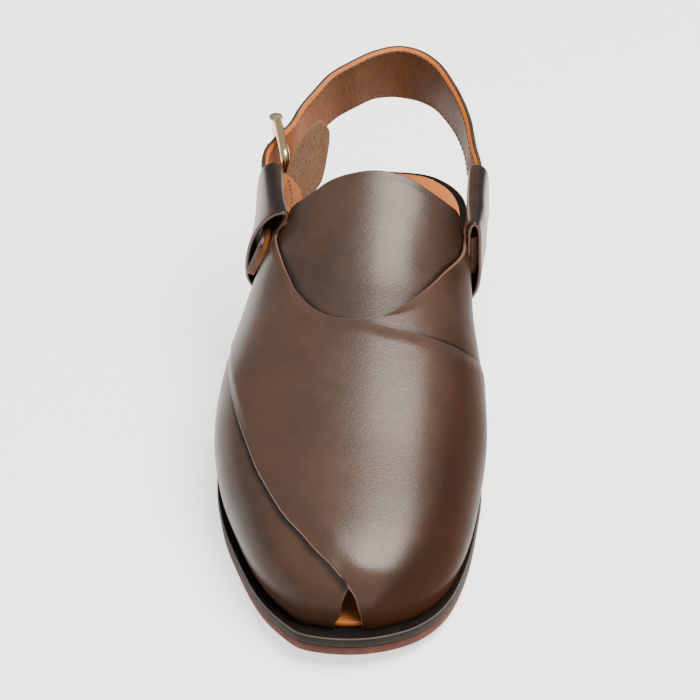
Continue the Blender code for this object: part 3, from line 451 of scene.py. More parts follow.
@dataclass(frozen=True)
class WaxedCalf:
    """Full-grain calf, dyed dark brown, hand-burnished and waxed.

    The wax gives a satin sheen with soft wide highlights, the hair pores a fine stipple that breaks their
    edges.
    Near-black is mixed in as burnishing along the loops' edges and fold and the strap's edges, as painted
    shadow beside the edges of pieces that lie over the leather, and as painted shade toward the flanks and
    low down. The crest of a rounded edge gets a lighter cut-edge colour, partly a painted highlight, and the
    inner side a warmer brown.
    """

    name: str = "waxed_calf"
    base: str = "#3d2d24"
    light: str = "#483126"
    warm: str = "#462817"
    burnish_and_shade: str = "#120c0a"
    cut_edge_and_highlight: str = "#75564a"
    roughness: float = 0.31
    polish: float = 0.5
    flank_shade: float = 0.52
    shade: float = 0.92
    pore_mm: float = 0.55
    pebble_mm: float = 1.5
    cloud_mm: float = 28.0
    rub_mm: float = 7.0
    seam_mm: float = 3.0

    def material(self) -> Material:
        """Build the material."""
        made, tree, shader, place = start_material(self.name)
        warmth, seam, matt, edge = (add(tree, "Attribute", attribute_name=label).outputs["Fac"]
                                    for label in ("warm", "seam", "matt", "edge"))
        cloud = add(tree, "TexNoise", {"Vector": place},
                    {"Scale": per_mm(self.cloud_mm), "Detail": 4.0, "Roughness": 0.6})
        rub = add(tree, "TexNoise", {"Vector": place},
                  {"Scale": per_mm(self.rub_mm), "Detail": 6.0, "Roughness": 0.7})
        wander = add(tree, "Math", {0: rub, 1: seam, 2: seam}, operation="MULTIPLY_ADD")
        # Painted shadow beside edges that lie over this piece (on the loops and strap, burnishing): the seam
        # distance, broken up by noise, mixes in the near-black colour.
        shade = add(tree, "MapRange", {"Value": wander},
                    {"From Min": 0.2, "From Max": 1.5 * self.seam_mm, "To Min": self.shade, "To Max": 0.0},
                    interpolation_type="SMOOTHERSTEP")
        # Painted shade on the flanks and low down: the matt mask also mixes the colour toward near-black.
        flank_shade = add(tree, "MapRange", {"Value": matt}, {"To Max": self.flank_shade})
        # Painted highlight on the crest of the rounded edge, over the cut edge's lighter colour.
        rim = add(tree, "MapRange", {"Value": edge},
                  {"From Min": 0.25, "From Max": 0.55, "To Min": 0.8, "To Max": 0.0})
        colour = stops(add(tree, "ValToRGB", {"Fac": cloud}), [(0.36, self.base), (0.64, self.light)])
        for share, layer in ((warmth, self.warm), (flank_shade, self.burnish_and_shade), (shade, self.burnish_and_shade),
                             (rim, self.cut_edge_and_highlight)):
            colour = add(tree, "Mix", {"Factor": share, "A": colour}, {"B": tone(layer)}, data_type="RGBA")
        pores = add(tree, "TexVoronoi", {"Vector": place},
                    {"Scale": per_mm(self.pore_mm), "Randomness": 1.0}, feature="SMOOTH_F1")
        pebble = add(tree, "TexNoise", {"Vector": place},
                     {"Scale": per_mm(self.pebble_mm), "Detail": 3.0, "Roughness": 0.55})
        fine = add(tree, "Bump", {"Height": pores}, {"Strength": 0.35, "Distance": 0.00008})
        bump = add(tree, "Bump", {"Height": pebble, "Normal": fine}, {"Strength": 0.15, "Distance": 0.00025})
        gloss = add(tree, "MapRange", {"Value": rub},
                    {"From Min": 0.3, "From Max": 0.7, "To Min": self.roughness - 0.03,
                     "To Max": self.roughness + 0.05})
        polish = add(tree, "MapRange", {"Value": matt}, {"To Min": self.polish, "To Max": 0.0})
        feed(shader, {"Base Color": colour, "Roughness": gloss, "Normal": bump, "Specular IOR Level": polish},
             {"IOR": 1.45})
        return made


@dataclass(frozen=True)
class LiningLeather:
    """Thin lining leather, tan and smooth, creased across the strap where the strap bends."""

    name: str = "tan_lining"
    base: str = "#7d4a28"
    light: str = "#92592f"
    bevel: str = "#bb6620"
    roughness: float = 0.55
    cloud_mm: float = 14.0
    grain_mm: float = 0.9
    crease_mm: float = 1.6
    crease: float = 0.0

    def material(self) -> Material:
        """Build the material."""
        made, tree, shader, place = start_material(self.name)
        cloud = add(tree, "TexNoise", {"Vector": place},
                    {"Scale": per_mm(self.cloud_mm), "Detail": 5.0, "Roughness": 0.6})
        patch = stops(add(tree, "ValToRGB", {"Fac": cloud}), [(0.35, self.base), (0.68, self.light)])
        edge = add(tree, "Attribute", attribute_name="bevel").outputs["Fac"]
        colour = add(tree, "Mix", {"Factor": edge, "A": patch}, {"B": tone(self.bevel)}, data_type="RGBA")
        grain = add(tree, "TexNoise", {"Vector": place}, {"Scale": per_mm(self.grain_mm), "Detail": 3.0})
        bump = add(tree, "Bump", {"Height": grain}, {"Strength": 0.3, "Distance": 0.0002})
        if self.crease:
            flat = add(tree, "TexCoord").outputs["UV"]
            stretch = add(tree, "Mapping", {"Vector": flat}, {"Scale": (1.0, 0.2, 1.0)})
            fold = add(tree, "TexNoise", {"Vector": stretch},
                       {"Scale": per_mm(self.crease_mm), "Detail": 4.0, "Roughness": 0.6, "Distortion": 0.6})
            bump = add(tree, "Bump", {"Height": fold, "Normal": bump},
                       {"Strength": self.crease, "Distance": 0.0006})
            # Painted shade in the crease hollows and a faint painted highlight on the crease ridges.
            shade = add(tree, "MapRange", {"Value": fold},
                        {"From Min": 0.35, "From Max": 0.62, "To Min": 0.84, "To Max": 1.04})
            colour = add(tree, "Mix", {"A": colour, "B": shade}, {"Factor": 1.0}, data_type="RGBA",
                         blend_type="MULTIPLY")
        feed(shader, {"Base Color": colour, "Normal": bump},
             {"Roughness": self.roughness, "Specular IOR Level": 0.3})
        return made


@dataclass(frozen=True)
class BrushedSuede:
    """Split leather brushed to a short nap: matt, with fibre bundles lighter and darker by how they lie."""

    name: str = "brushed_suede"
    base: str = "#452c1a"
    light: str = "#a37346"
    roughness: float = 0.95
    nap_mm: float = 0.9

    def material(self) -> Material:
        """Build the material."""
        made, tree, shader, place = start_material(self.name)
        lie = add(tree, "Mapping", {"Vector": place}, {"Scale": (1.0, 1.0, 0.5), "Rotation": (0.5, 0.4, 0.0)})
        nap = add(tree, "TexNoise", {"Vector": lie},
                  {"Scale": per_mm(self.nap_mm), "Detail": 6.0, "Roughness": 0.75, "Distortion": 0.8})
        hue = stops(add(tree, "ValToRGB", {"Fac": nap}), [(0.33, self.base), (0.68, self.light)])
        bump = add(tree, "Bump", {"Height": nap}, {"Strength": 1.0, "Distance": 0.0009})
        feed(shader, {"Base Color": hue, "Normal": bump},
             {"Roughness": self.roughness, "Sheen Weight": 0.08, "Sheen Roughness": 0.5})
        return made


@dataclass(frozen=True)
class SoleRubber:
    """Pressed rubber and leather board of the sole: matt, faintly granular, its cut edge waxed."""

    name: str = "sole"
    base: str = "#17110e"
    light: str = "#221a16"
    roughness: float = 0.7
    cloud_mm: float = 6.0
    grain_mm: float = 0.5
    height: float = 0.00015
    specular: float = 0.2
    speck: str | None = None

    def material(self) -> Material:
        """Build the material."""
        made, tree, shader, place = start_material(self.name)
        cloud, grain = (add(tree, "TexNoise", {"Vector": place},
                            {"Scale": per_mm(size), "Detail": detail, "Roughness": 0.7})
                        for size, detail in ((self.cloud_mm, 6.0), (self.grain_mm, 4.0)))
        colour = stops(add(tree, "ValToRGB", {"Fac": cloud}), [(0.35, self.base), (0.68, self.light)])
        if self.speck:
            fleck = stops(add(tree, "ValToRGB", {"Fac": grain}), [(0.66, "#000000"), (0.74, "#ffffff")])
            colour = add(tree, "Mix", {"Factor": fleck, "A": colour}, {"B": tone(self.speck)},
                         data_type="RGBA")
        bump = add(tree, "Bump", {"Height": grain}, {"Strength": 0.6, "Distance": self.height})
        feed(shader, {"Base Color": colour, "Normal": bump},
             {"Roughness": self.roughness, "Specular IOR Level": self.specular})
        return made


@dataclass(frozen=True)
class PaleGold:
    """Zinc alloy plated pale gold and polished: a tight bright highlight with faint wipe marks."""

    name: str = "pale_gold_plate"
    colour: str = "#d9c193"
    roughness: float = 0.2
    wipe_mm: float = 2.5

    def material(self) -> Material:
        """Build the material."""
        made, tree, shader, place = start_material(self.name)
        wipe = add(tree, "TexNoise", {"Vector": place},
                   {"Scale": per_mm(self.wipe_mm), "Detail": 6.0, "Roughness": 0.7})
        gloss = add(tree, "MapRange", {"Value": wipe},
                    {"From Min": 0.3, "From Max": 0.7, "To Min": self.roughness - 0.06,
                     "To Max": self.roughness + 0.12})
        bump = add(tree, "Bump", {"Height": wipe}, {"Strength": 0.15, "Distance": 0.0001})
        feed(shader, {"Roughness": gloss, "Normal": bump}, {"Base Color": tone(self.colour), "Metallic": 1.0})
        return made


@dataclass(frozen=True)
class WaxedThread:
    """Waxed polyester thread: satin, twisted."""

    name: str = "waxed_thread"
    colour: str = "#4a2c1a"
    ply_mm: float = 0.4

    def material(self) -> Material:
        """Build the material."""
        made, tree, shader, place = start_material(self.name)
        ply = add(tree, "TexNoise", {"Vector": place}, {"Scale": per_mm(self.ply_mm), "Detail": 2.0})
        bump = add(tree, "Bump", {"Height": ply}, {"Strength": 0.4, "Distance": 0.0001})
        feed(shader, {"Normal": bump}, {"Base Color": tone(self.colour), "Roughness": 0.5})
        return made


# The last

@dataclass
class Last:
    """The form that the shoe is made on, with the heights of the sole under it."""

    sole_length: float = 0.292
    ball_width: float = 0.1078
    instep: float = 0.081
    heel_height: float = 0.022
    heel_length: float = 0.070
    toe_spring: float = 0.0065
    outsole: float = 0.0045
    midsole: float = 0.004
    insole: float = 0.0025
    top_piece: float = 0.006
    leather: float = 0.002
    tongue: float = 0.0016
    lining_space: float = 0.0004
    gap: float = 0.0003
    toe_reveal: float = 0.0095
    heel_reveal: float = 0.0065
    side_reveal: float = 0.0065
    toe_lift_start: float = 0.325
    waist_start: float = 0.479
    waist_end: float = 0.805
    upright_from: float = 0.80

    def __post_init__(self) -> None:
        """Work out the form length, the shift to the solids' frame and the flat map."""
        self.form_length = self.sole_length - self.toe_reveal - self.heel_reveal
        self.shift = 0.0
        edge = self.edge_x(np.linspace(0, 1, 2000), Side.OUTER)
        self.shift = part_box("outsole")[0][0] - float(edge.min())
        self.runs = (np.linspace(0, 1, 500) ** 2) * 0.80
        ridge = self.raw(self.runs, np.zeros(500))
        self.down = run_lengths(ridge)
        across = self.raw(self.runs[:, None], np.linspace(-1, 1, 41)[None, :])
        self.half = np.linalg.norm(np.diff(across, axis=1), axis=2).sum(1) / 2 + 0.0005

    @property
    def band_seat(self) -> float:
        """Stand-off of the bands' inner face."""
        return self.tongue + self.lining_space

    @staticmethod
    def table(rows: Array, column: int, share: Array) -> Array:
        """Read a table column smoothly at shares of a length, spread as the angle round a circle."""
        spread = [np.arccos(np.clip(1 - 2 * np.asarray(item, float), -1, 1)) for item in (rows[:, 0], share)]
        return smooth_curve(spread[0], rows[:, column], spread[1])

    def edge_x(self, share: Array, side: Side) -> Array:
        """Give the sole edge's x at shares of the length."""
        return self.ball_width * self.table(SOLE_EDGE, 1 if side is Side.OUTER else 2, share) + self.shift

    def under(self, along: Array) -> Array:
        """Height of the outsole's underside: a parabola at the toe, flat, an S through the waist, flat."""
        share = np.asarray(along, float) / self.sole_length
        toe = self.toe_spring * np.clip((self.toe_lift_start - share) / self.toe_lift_start, 0, 1) ** 2
        return toe + self.heel_height * ease((share - self.waist_start) / (self.waist_end - self.waist_start))

    def seat(self, along: Array) -> Array:
        """Height on which the insole and the upper stand."""
        return self.welt_top(along) + self.gap

    def outsole_top(self, along: Array) -> Array:
        """Height of the outsole's top."""
        return self.under(along) + self.outsole

    def welt_top(self, along: Array) -> Array:
        """Height of the midsole's top, which shows as a welt."""
        return self.outsole_top(along) + self.midsole

    def raw(self, run: Array, girth: Array) -> Array:
        """Bare last: across it a quarter ellipse on each side whose flank bulges low down and high up."""
        run, girth = np.broadcast_arrays(np.asarray(run, float), np.asarray(girth, float))
        outer = girth < 0
        along = self.toe_reveal + self.form_length * run
        edge = np.where(outer, self.edge_x(run, Side.OUTER), self.edge_x(run, Side.INNER)) - self.shift
        edge = edge * (1 - 2 * self.side_reveal / self.ball_width)
        ridge = self.ball_width * self.table(LAST_ROWS, 2, run)
        low = np.where(outer, self.table(LAST_ROWS, 3, run), self.table(LAST_ROWS, 5, run))
        high = np.where(outer, self.table(LAST_ROWS, 4, run), self.table(LAST_ROWS, 6, run))
        angle = (1 - np.abs(girth)) * math.pi / 2
        across, up = np.cos(angle), np.sin(angle)
        x = ridge + (edge - ridge) * across * (1 + low * up + high * up * up)
        z = self.seat(along) + self.instep * self.table(LAST_ROWS, 1, run) * up
        return np.stack([x + self.shift, along - self.sole_length / 2, z], -1)

    def point(self, run: Array, girth: Array, stand_off: Array | float) -> Array:
        """Last moved out along its normal, kept on the seat at the sole's edge.

        Args:
            run: shares of the form length.
            girth: shares of the half girth.
            stand_off: metres out from the last.

        Returns:
            Positions with x, y, z last.
        """
        given = (np.asarray(item, float) for item in (run, girth, stand_off))
        run, girth, stand_off = np.broadcast_arrays(*given)
        step = 0.0004
        ahead = self.raw(np.minimum(run + step, 1), girth) - self.raw(np.maximum(run - step, 0.00002), girth)
        inner = np.clip(girth, -1 + step, 1 - step)
        normal = np.cross(self.raw(run, inner + step) - self.raw(run, inner - step), ahead)
        low = np.clip(np.sin((1 - np.abs(girth)) * math.pi / 2) / 0.3, 0, 1)
        normal[..., 2] = np.where(normal[..., 2] < 0, normal[..., 2] * low, normal[..., 2])
        normal[..., 2] = np.where(np.abs(girth) > 0.9999, 0.0, normal[..., 2])
        moved = self.raw(run, girth) + unit(normal) * stand_off[..., None]
        along = self.toe_reveal + self.form_length * run
        moved[..., 2] += self.seat(moved[..., 1] + self.sole_length / 2) - self.seat(along)
        return moved

    def flatten(self, places: Array) -> Array:
        """Turn (run, girth) places into flat metres, true to size along the ridge and round the girth."""
        places = np.asarray(places, float)
        down = np.interp(places[..., 0], self.runs, self.down)
        return np.stack([down, places[..., 1] * np.interp(places[..., 0], self.runs, self.half)], -1)

    def unflatten(self, flat: Array) -> tuple[Array, Array]:
        """Turn flat metres back into runs and girths."""
        run = np.interp(flat[..., 0], self.down, self.runs)
        return run, np.clip(flat[..., 1] / np.interp(run, self.runs, self.half), -1, 1)

    def edge_curve(self, places: Places, count: int = 400) -> Array:
        """Draw a smooth flat curve through (run, girth) places."""
        return smooth_path(self.flatten(np.array(places)), count)

    def feather(self, start: float, end: float, girth: float, count: int = 200) -> Array:
        """Draw the line where the upper meets the sole, from one run to another, as a flat curve."""
        runs = start + (end - start) * np.linspace(0, 1, count)
        return self.flatten(np.stack([runs, np.full(count, girth)], 1))

    def beside(self, run: Array, level: Array, stand_off: Array | float, side: Side) -> Array:
        """Point beside the leg's wall at a height, as a share of the instep.

        On the outer side it stands off square to the last. On the inner side it stands straight out from a
        wall that goes straight up past the upright level.

        Args:
            run: shares of the form length.
            level: heights above the ground as shares of the instep.
            stand_off: metres out from the middle of the leg's wall.
            side: side of the shoe.

        Returns:
            Positions with x, y, z last.
        """
        run, level, stand_off = np.broadcast_arrays(run, level, stand_off)
        base = self.band_seat + self.leather / 2
        if side is Side.OUTER:
            return self.point(run, self.girth_at(run, level * self.instep, side), base + stand_off)
        height = np.minimum(level, self.upright_from) * self.instep
        found = self.point(run, self.girth_at(run, height, side), base)
        return np.stack([found[..., 0] + stand_off, found[..., 1], level * self.instep], -1)

    def girth_at(self, run: Array, height: Array, side: Side) -> Array:
        """Girth at which the last reaches a height: the inverse of its quarter ellipse."""
        rise = self.instep * self.table(LAST_ROWS, 1, run)
        up = (height - self.seat(self.toe_reveal + self.form_length * run)) / rise
        return side.value * (1 - np.arcsin(np.clip(up, 0, 1)) * 2 / math.pi)


def joined(*curves: Array) -> Array:
    """Join flat curves end to end."""
    return np.concatenate([curves[0]] + [curve[1:] for curve in curves[1:]])


def share_reader(curve: Array) -> Callable[[Array], Array]:
    """Give a function that reads a flat curve at shares of its length."""
    lengths = run_lengths(curve)

    def read(share: Array) -> Array:
        return np.stack([np.interp(share * lengths[-1], lengths, curve[:, axis]) for axis in (0, 1)], -1)

    return read


@dataclass
class FlatPatch:
    """A cut piece of leather on the flat map, between a front and a rear edge and two ends.

    Its grid is a Coons patch: the mean of the straight lines between opposite edges, less the straight
    lines between the corners. Rows crowd to the front and rear edges so that those can be rounded.
    """

    front: Array
    rear: Array
    start: Array
    end: Array
    rows: int = 90
    columns: int = 220
    edge_steps: tuple[float, ...] = (0.0, 0.00008, 0.0002, 0.00036, 0.0006, 0.0010, 0.0018, 0.0030)

    def grid(self) -> tuple[Array, Array, Array]:
        """Work out the patch.

        Returns:
            Flat places, and the distances from the front and from the rear edge in metres.
        """
        v = np.linspace(0, 1, self.columns)
        front, rear = share_reader(self.front)(v), share_reader(self.rear)(v)
        width = np.maximum(np.linalg.norm(rear - front, axis=1), 0.008)
        steps = np.array(self.edge_steps)
        inner = np.linspace(0, 1, self.rows - 2 * len(steps) + 2)[1:-1]
        last = steps[-1] / width
        u = np.concatenate([steps[:, None] / width, last + (1 - 2 * last) * inner[:, None],
                            1 - steps[::-1, None] / width])
        v = np.broadcast_to(v, u.shape)
        start, end = share_reader(self.start)(u), share_reader(self.end)(u)
        u3, v3 = u[..., None], v[..., None]
        corners = ((1 - u3) * (1 - v3) * front[0] + (1 - u3) * v3 * front[-1]
                   + u3 * (1 - v3) * rear[0] + u3 * v3 * rear[-1])
        flat = (1 - u3) * front + u3 * rear + (1 - v3) * start + v3 * end - corners
        return flat, u * width, (1 - u) * width


def rounded(distance: Array, radius: float) -> Array:
    """Rise from 0 to 1 as a quarter circle over a radius from an edge."""
    part = np.clip(distance / radius, 0, 1)
    return np.sqrt(np.maximum(1 - (1 - part) ** 2, 0))


def nearest(points: Array, line: Array) -> Array:
    """Distance from each flat point to the nearest point of a line, as one array of differences."""
    thin = line[::max(len(line) // 160, 1)]
    return np.linalg.norm(points[..., None, :] - thin, axis=-1).min(-1)


# The pieces

@dataclass
class Upper:
    """The two crossing bands and the tongue under them.

    The leather is duller and darkened with painted shade to the inner and outer side and low down, and
    warmer to the inner side. Each of these is a row of how much, from which girth or height in metres (both
    signs turned) and over how far.
    """

    last: Last
    leather: Material
    lining: Material
    tongue_leather: Material
    overlap: float = 0.9
    blend: float = 0.17
    spread: tuple[float, ...] = (-0.24, -0.18, -0.12, -0.06, 0.0, 0.06, 0.12, 0.18, 0.24)
    hidden_rear: float = 0.400
    edge_wall: float = 0.0011
    edge_radius: float = 0.0006
    skive: float = 0.006
    dull_shade_inner: tuple[float, float, float] = (0.97, 0.22, 0.22)
    dull_shade_outer: tuple[float, float, float] = (0.78, 0.35, 0.30)
    dull_shade_low: tuple[float, float, float] = (1.0, -0.022, 0.015)
    warm_inner: tuple[float, float, float] = (0.9, 0.30, 0.45)

    def lifted(self, run: Array, girth: Array) -> Array:
        """How far the upper band is lifted over the lower one, 0 to 1: a mean over nearby girths."""
        fronts = [np.interp(girth + step, HIDDEN_FRONT[:, 0], HIDDEN_FRONT[:, 1]) for step in self.spread]
        over = np.mean([ease((run - front) / self.blend + 0.45) for front in fronts], axis=0)
        raised = over + (1 - over) * ease(-(girth + 0.02) / 0.16)
        behind = np.where(girth < 0, ease((self.hidden_rear - run) / self.blend + 0.8), 1.0)
        fade = ease(-girth / 0.12)
        return raised * (behind * fade + (1 - fade))

    def wall(self, name: str, patch: FlatPatch, seam: Array, outer: Callable[[Array, Array], Array],
             inner: Callable[[Array, Array], Array], looks: Sequence[Material], slot: str,
             node: str) -> bpy.types.Object:
        """Lay a patch over the last as a closed wall with rounded, thinned edges.

        Args:
            name: piece name.
            patch: cut of the leather.
            seam: flat line beside which the surface is darkened with painted shadow.
            outer: stand-off of the outer face by run and girth.
            inner: stand-off of the inner face by run and girth.
            looks: outer and inner material.
            slot: material slot of the record.
            node: solid that it stands for.

        Returns:
            The object.
        """
        flat, from_front, from_rear = patch.grid()
        run, girth = self.last.unflatten(flat)
        edge = np.minimum(from_front, from_rear)
        high, low = outer(run, girth), inner(run, girth)
        wall = high - low
        thin = np.minimum(wall, self.edge_wall + (wall - self.edge_wall) * ease(edge / self.skive))
        top = low + thin * (0.25 + 0.75 * rounded(edge, self.edge_radius))
        surface = self.last.point(run, girth, top)
        back = self.last.point(run, girth, low)
        height = surface[..., 2] - self.last.seat(surface[..., 1] + self.last.sole_length / 2)
        # The matt mask dulls the gloss and also drives painted shade on the flanks and low down.
        matt = [fade(girth, *self.dull_shade_inner), fade(-girth, *self.dull_shade_outer), fade(-height, *self.dull_shade_low)]
        attributes = {"edge": edge * 1000, "seam": nearest(flat, seam) * 1000,
                      "warm": fade(girth, *self.warm_inner), "matt": np.maximum.reduce(matt)}
        return shell(surface, back, attributes, flat).object(name, looks, [node], slot)

    def build(self) -> None:
        """Make the bands and the tongue."""
        last = self.last
        seat, leather = last.band_seat, last.leather

        def lift(run: Array, girth: Array) -> Array:
            return self.overlap * self.lifted(run, girth)

        edge, feather = last.edge_curve, last.feather
        front_edge = joined(edge(SLIT_INNER, 120), edge(TOP_BAND_FRONT))
        rear_edge = joined(*(edge(part[::-1], 200) for part in (
            TOP_BAND_CORNER, TOP_BAND_REAR_INNER, TOP_BAND_REAR_OUTER, LEG_TOP, LEG_REAR)))
        top = FlatPatch(joined(front_edge, edge(TOP_BAND_LEG, 120)), rear_edge,
                        feather(0.002, 0.459, 1.0), feather(0.492, 0.672, -1.0))
        self.wall("top_band", top, np.array([[9.0, 9.0]]),
                  lambda run, girth: seat + leather * (1 + lift(run, girth)),
                  lambda run, girth: seat + leather * lift(run, girth) + 0.0001,
                  (self.leather, self.lining), "leather", "upper")
        hidden = last.flatten(HIDDEN_FRONT[1:-2, ::-1])
        hidden[0] = last.flatten(SLIT_OUTER[0])
        low_front = joined(smooth_path(hidden, 300), edge(LOW_BAND_LEG[::-1], 60))
        low_rear = joined(feather(0.0005, 0.457, -1.0), edge(LOW_BAND_CORNER, 100), edge(HIDDEN_REAR, 120),
                          edge(LOW_BAND_TOP), edge(INNER_LEG_TOP, 150))
        inner_leg_rear = edge([(run, -girth) for run, girth in LEG_REAR], 120)
        low = FlatPatch(low_front, low_rear, edge(SLIT_OUTER, 120),
                        joined(feather(0.496, 0.672, 1.0, 80), inner_leg_rear))
        self.wall("low_band", low, joined(edge(TOP_BAND_FRONT), edge(TOP_BAND_REAR_INNER)),
                  lambda run, girth: seat + leather * np.minimum(1, 0.75 + lift(run, girth)),
                  lambda run, girth: 0 * run + seat, (self.leather, self.lining), "leather", "upper")
        tongue = FlatPatch(edge(TONGUE_FRONT), edge(TONGUE_TOP), edge(TONGUE_OUTER, 120),
                           edge(TONGUE_INNER, 120), columns=160)
        self.wall("tongue_flap", tongue, joined(edge(TOP_BAND_REAR_OUTER), edge(LOW_BAND_TOP)),
                  lambda run, girth: 0 * run + last.tongue, lambda run, girth: 0 * run,
                  (self.tongue_leather, self.lining), "tongue", "tongue")


@dataclass
class StrapLoop:
    """One ear of the bands: it goes up the ankle, folds out and comes down to hold the strap."""

    last: Last
    side: Side
    leather: Material
    inside: Material
    lining: Material
    thread: Material
    front: float = 0.612
    rear: float = 0.734
    rear_lift: tuple[float, float] = (0.050, 0.085)
    inner_share: float = 0.85
    rear_flare: float = 0.0012
    front_pinch: float = 0.3
    wall: float = 0.0019
    ear_width: float = 0.033
    leaf: float = 0.0010
    leaf_width: float = 0.0076
    leaf_droop: float = 0.0026
    leaf_roll: float = 0.0009
    leaf_flat: tuple[float, float] = (0.008, 0.030)

    def middle(self, part: Array, profile: Array) -> Array:
        """Middle of the loop's wall at shares of its run and of its profile."""
        last = self.last
        places = np.linspace(0, 1, len(LOOP_PROFILE))
        outer = self.side is Side.OUTER
        stand = smooth_curve(places, LOOP_PROFILE[:, 0], profile)
        stand = stand * (1 if outer else self.inner_share * (1 - self.front_pinch * ease((0.4 - part) / 0.4)))
        level = smooth_curve(places, LOOP_PROFILE[:, 1], profile)
        run = self.front + 0.003 + (self.rear - 0.002 - self.front) * part
        level = level + self.rear_lift[0 if outer else 1] * part * ease((level - 0.55) / 0.4)
        stand = stand + self.rear_flare * part * np.sin(np.pi * np.clip((profile - 0.25) / 0.7, 0, 1))
        return last.beside(run, level, stand, self.side)

    def build(self) -> None:
        """Make the loop and, on the outer side, its lining leaf and the leaf's stitches."""
        name = self.side.name.lower()
        near = np.array([0, 0.004, 0.010, 0.02, 0.035])
        across = np.concatenate([near, np.linspace(0.06, 0.94, 40), 1 - near[::-1]])
        part, profile = np.meshgrid(across, np.linspace(0, 1, 120), indexing="ij")
        middle = self.middle(part, profile)
        normal = unit(np.cross(np.gradient(middle, axis=1), np.gradient(middle, axis=0)))
        normal *= np.sign((normal * (middle - middle[:, :1]))[..., 0].sum())
        edge = np.minimum(part, 1 - part) * self.ear_width
        thick = self.wall / 2 * (0.35 + 0.65 * rounded(edge, 0.0007)) * (0.72 + 0.28 * ease(profile / 0.3))
        outer, inner = middle + normal * thick[..., None], middle - normal * thick[..., None]
        lengths = np.cumsum(np.linalg.norm(np.diff(middle, axis=1, prepend=middle[:, :1]), axis=2), axis=1)
        fold = 3.4 * np.abs(profile - 0.38) / 0.13
        # A little of the matt mask on the loops: less gloss and a faint painted shade.
        attributes = {"edge": edge * 1000 + 0.3, "seam": np.minimum(edge * 1000 * 1.2 + 0.6, fold),
                      "warm": 0 * part, "matt": 0 * part + 0.12}
        uv = np.stack([part * self.ear_width, lengths], -1)
        shell(outer, inner, attributes, uv).object(
            f"loop_{name}", (self.leather, self.inside), ["upper"], "leather")
        if self.side is Side.OUTER:
            self.build_leaf()

    def build_leaf(self) -> None:
        """Make the lens-shaped lining leaf that stands off the ear's front edge, its roll and its seam."""
        along, across = np.meshgrid(np.linspace(0, 1, 60), np.linspace(0, 1, 16), indexing="ij")
        swell = np.sin(np.pi * along) ** 0.7
        root = self.middle(0.02 + 0.96 * along, 0 * along + 0.15) + [self.wall / 2 + 0.0003, 0.0, 0.0008]
        droop = self.leaf_droop * across ** 2 * (1 - ease((along - 0.45) / 0.25))
        middle = root + np.stack([self.leaf_width * swell * across, 0 * along,
                                  (0.0008 * np.sin(np.pi * across) - droop) * swell], -1)
        normal = unit(np.cross(np.gradient(middle, axis=0), np.gradient(middle, axis=1)) + [0, 0, 1e-9])
        normal *= np.sign(normal[..., 2:].sum())
        edge = np.minimum(across, 1 - across) * swell * self.leaf_flat[0]
        thick = (self.leaf / 2 * (0.4 + 0.6 * rounded(edge, 0.0006)))[..., None]
        shell(middle + normal * thick, middle - normal * thick, {"bevel": 0.3 - 0.3 * rounded(edge, 0.0008)},
              np.stack([across, along], -1) * self.leaf_flat).object(
            "lining_leaf", (self.lining, self.lining), ["upper"], "lining")
        tube(wire_rings(middle[:, 0], self.leaf_roll, False, 12)).object(
            "leaf_roll", [self.lining], ["upper"], "lining")
        seam = middle[6:-6, 6]
        stitches(seam + normal[6:-6, 6] * self.leaf / 2, middle[6:-6, 7] - middle[6:-6, 6], normal[6:-6, 6],
                 0.0019, 0.0008, 0.0006).object("leaf_stitches", [self.thread], [], "lining")


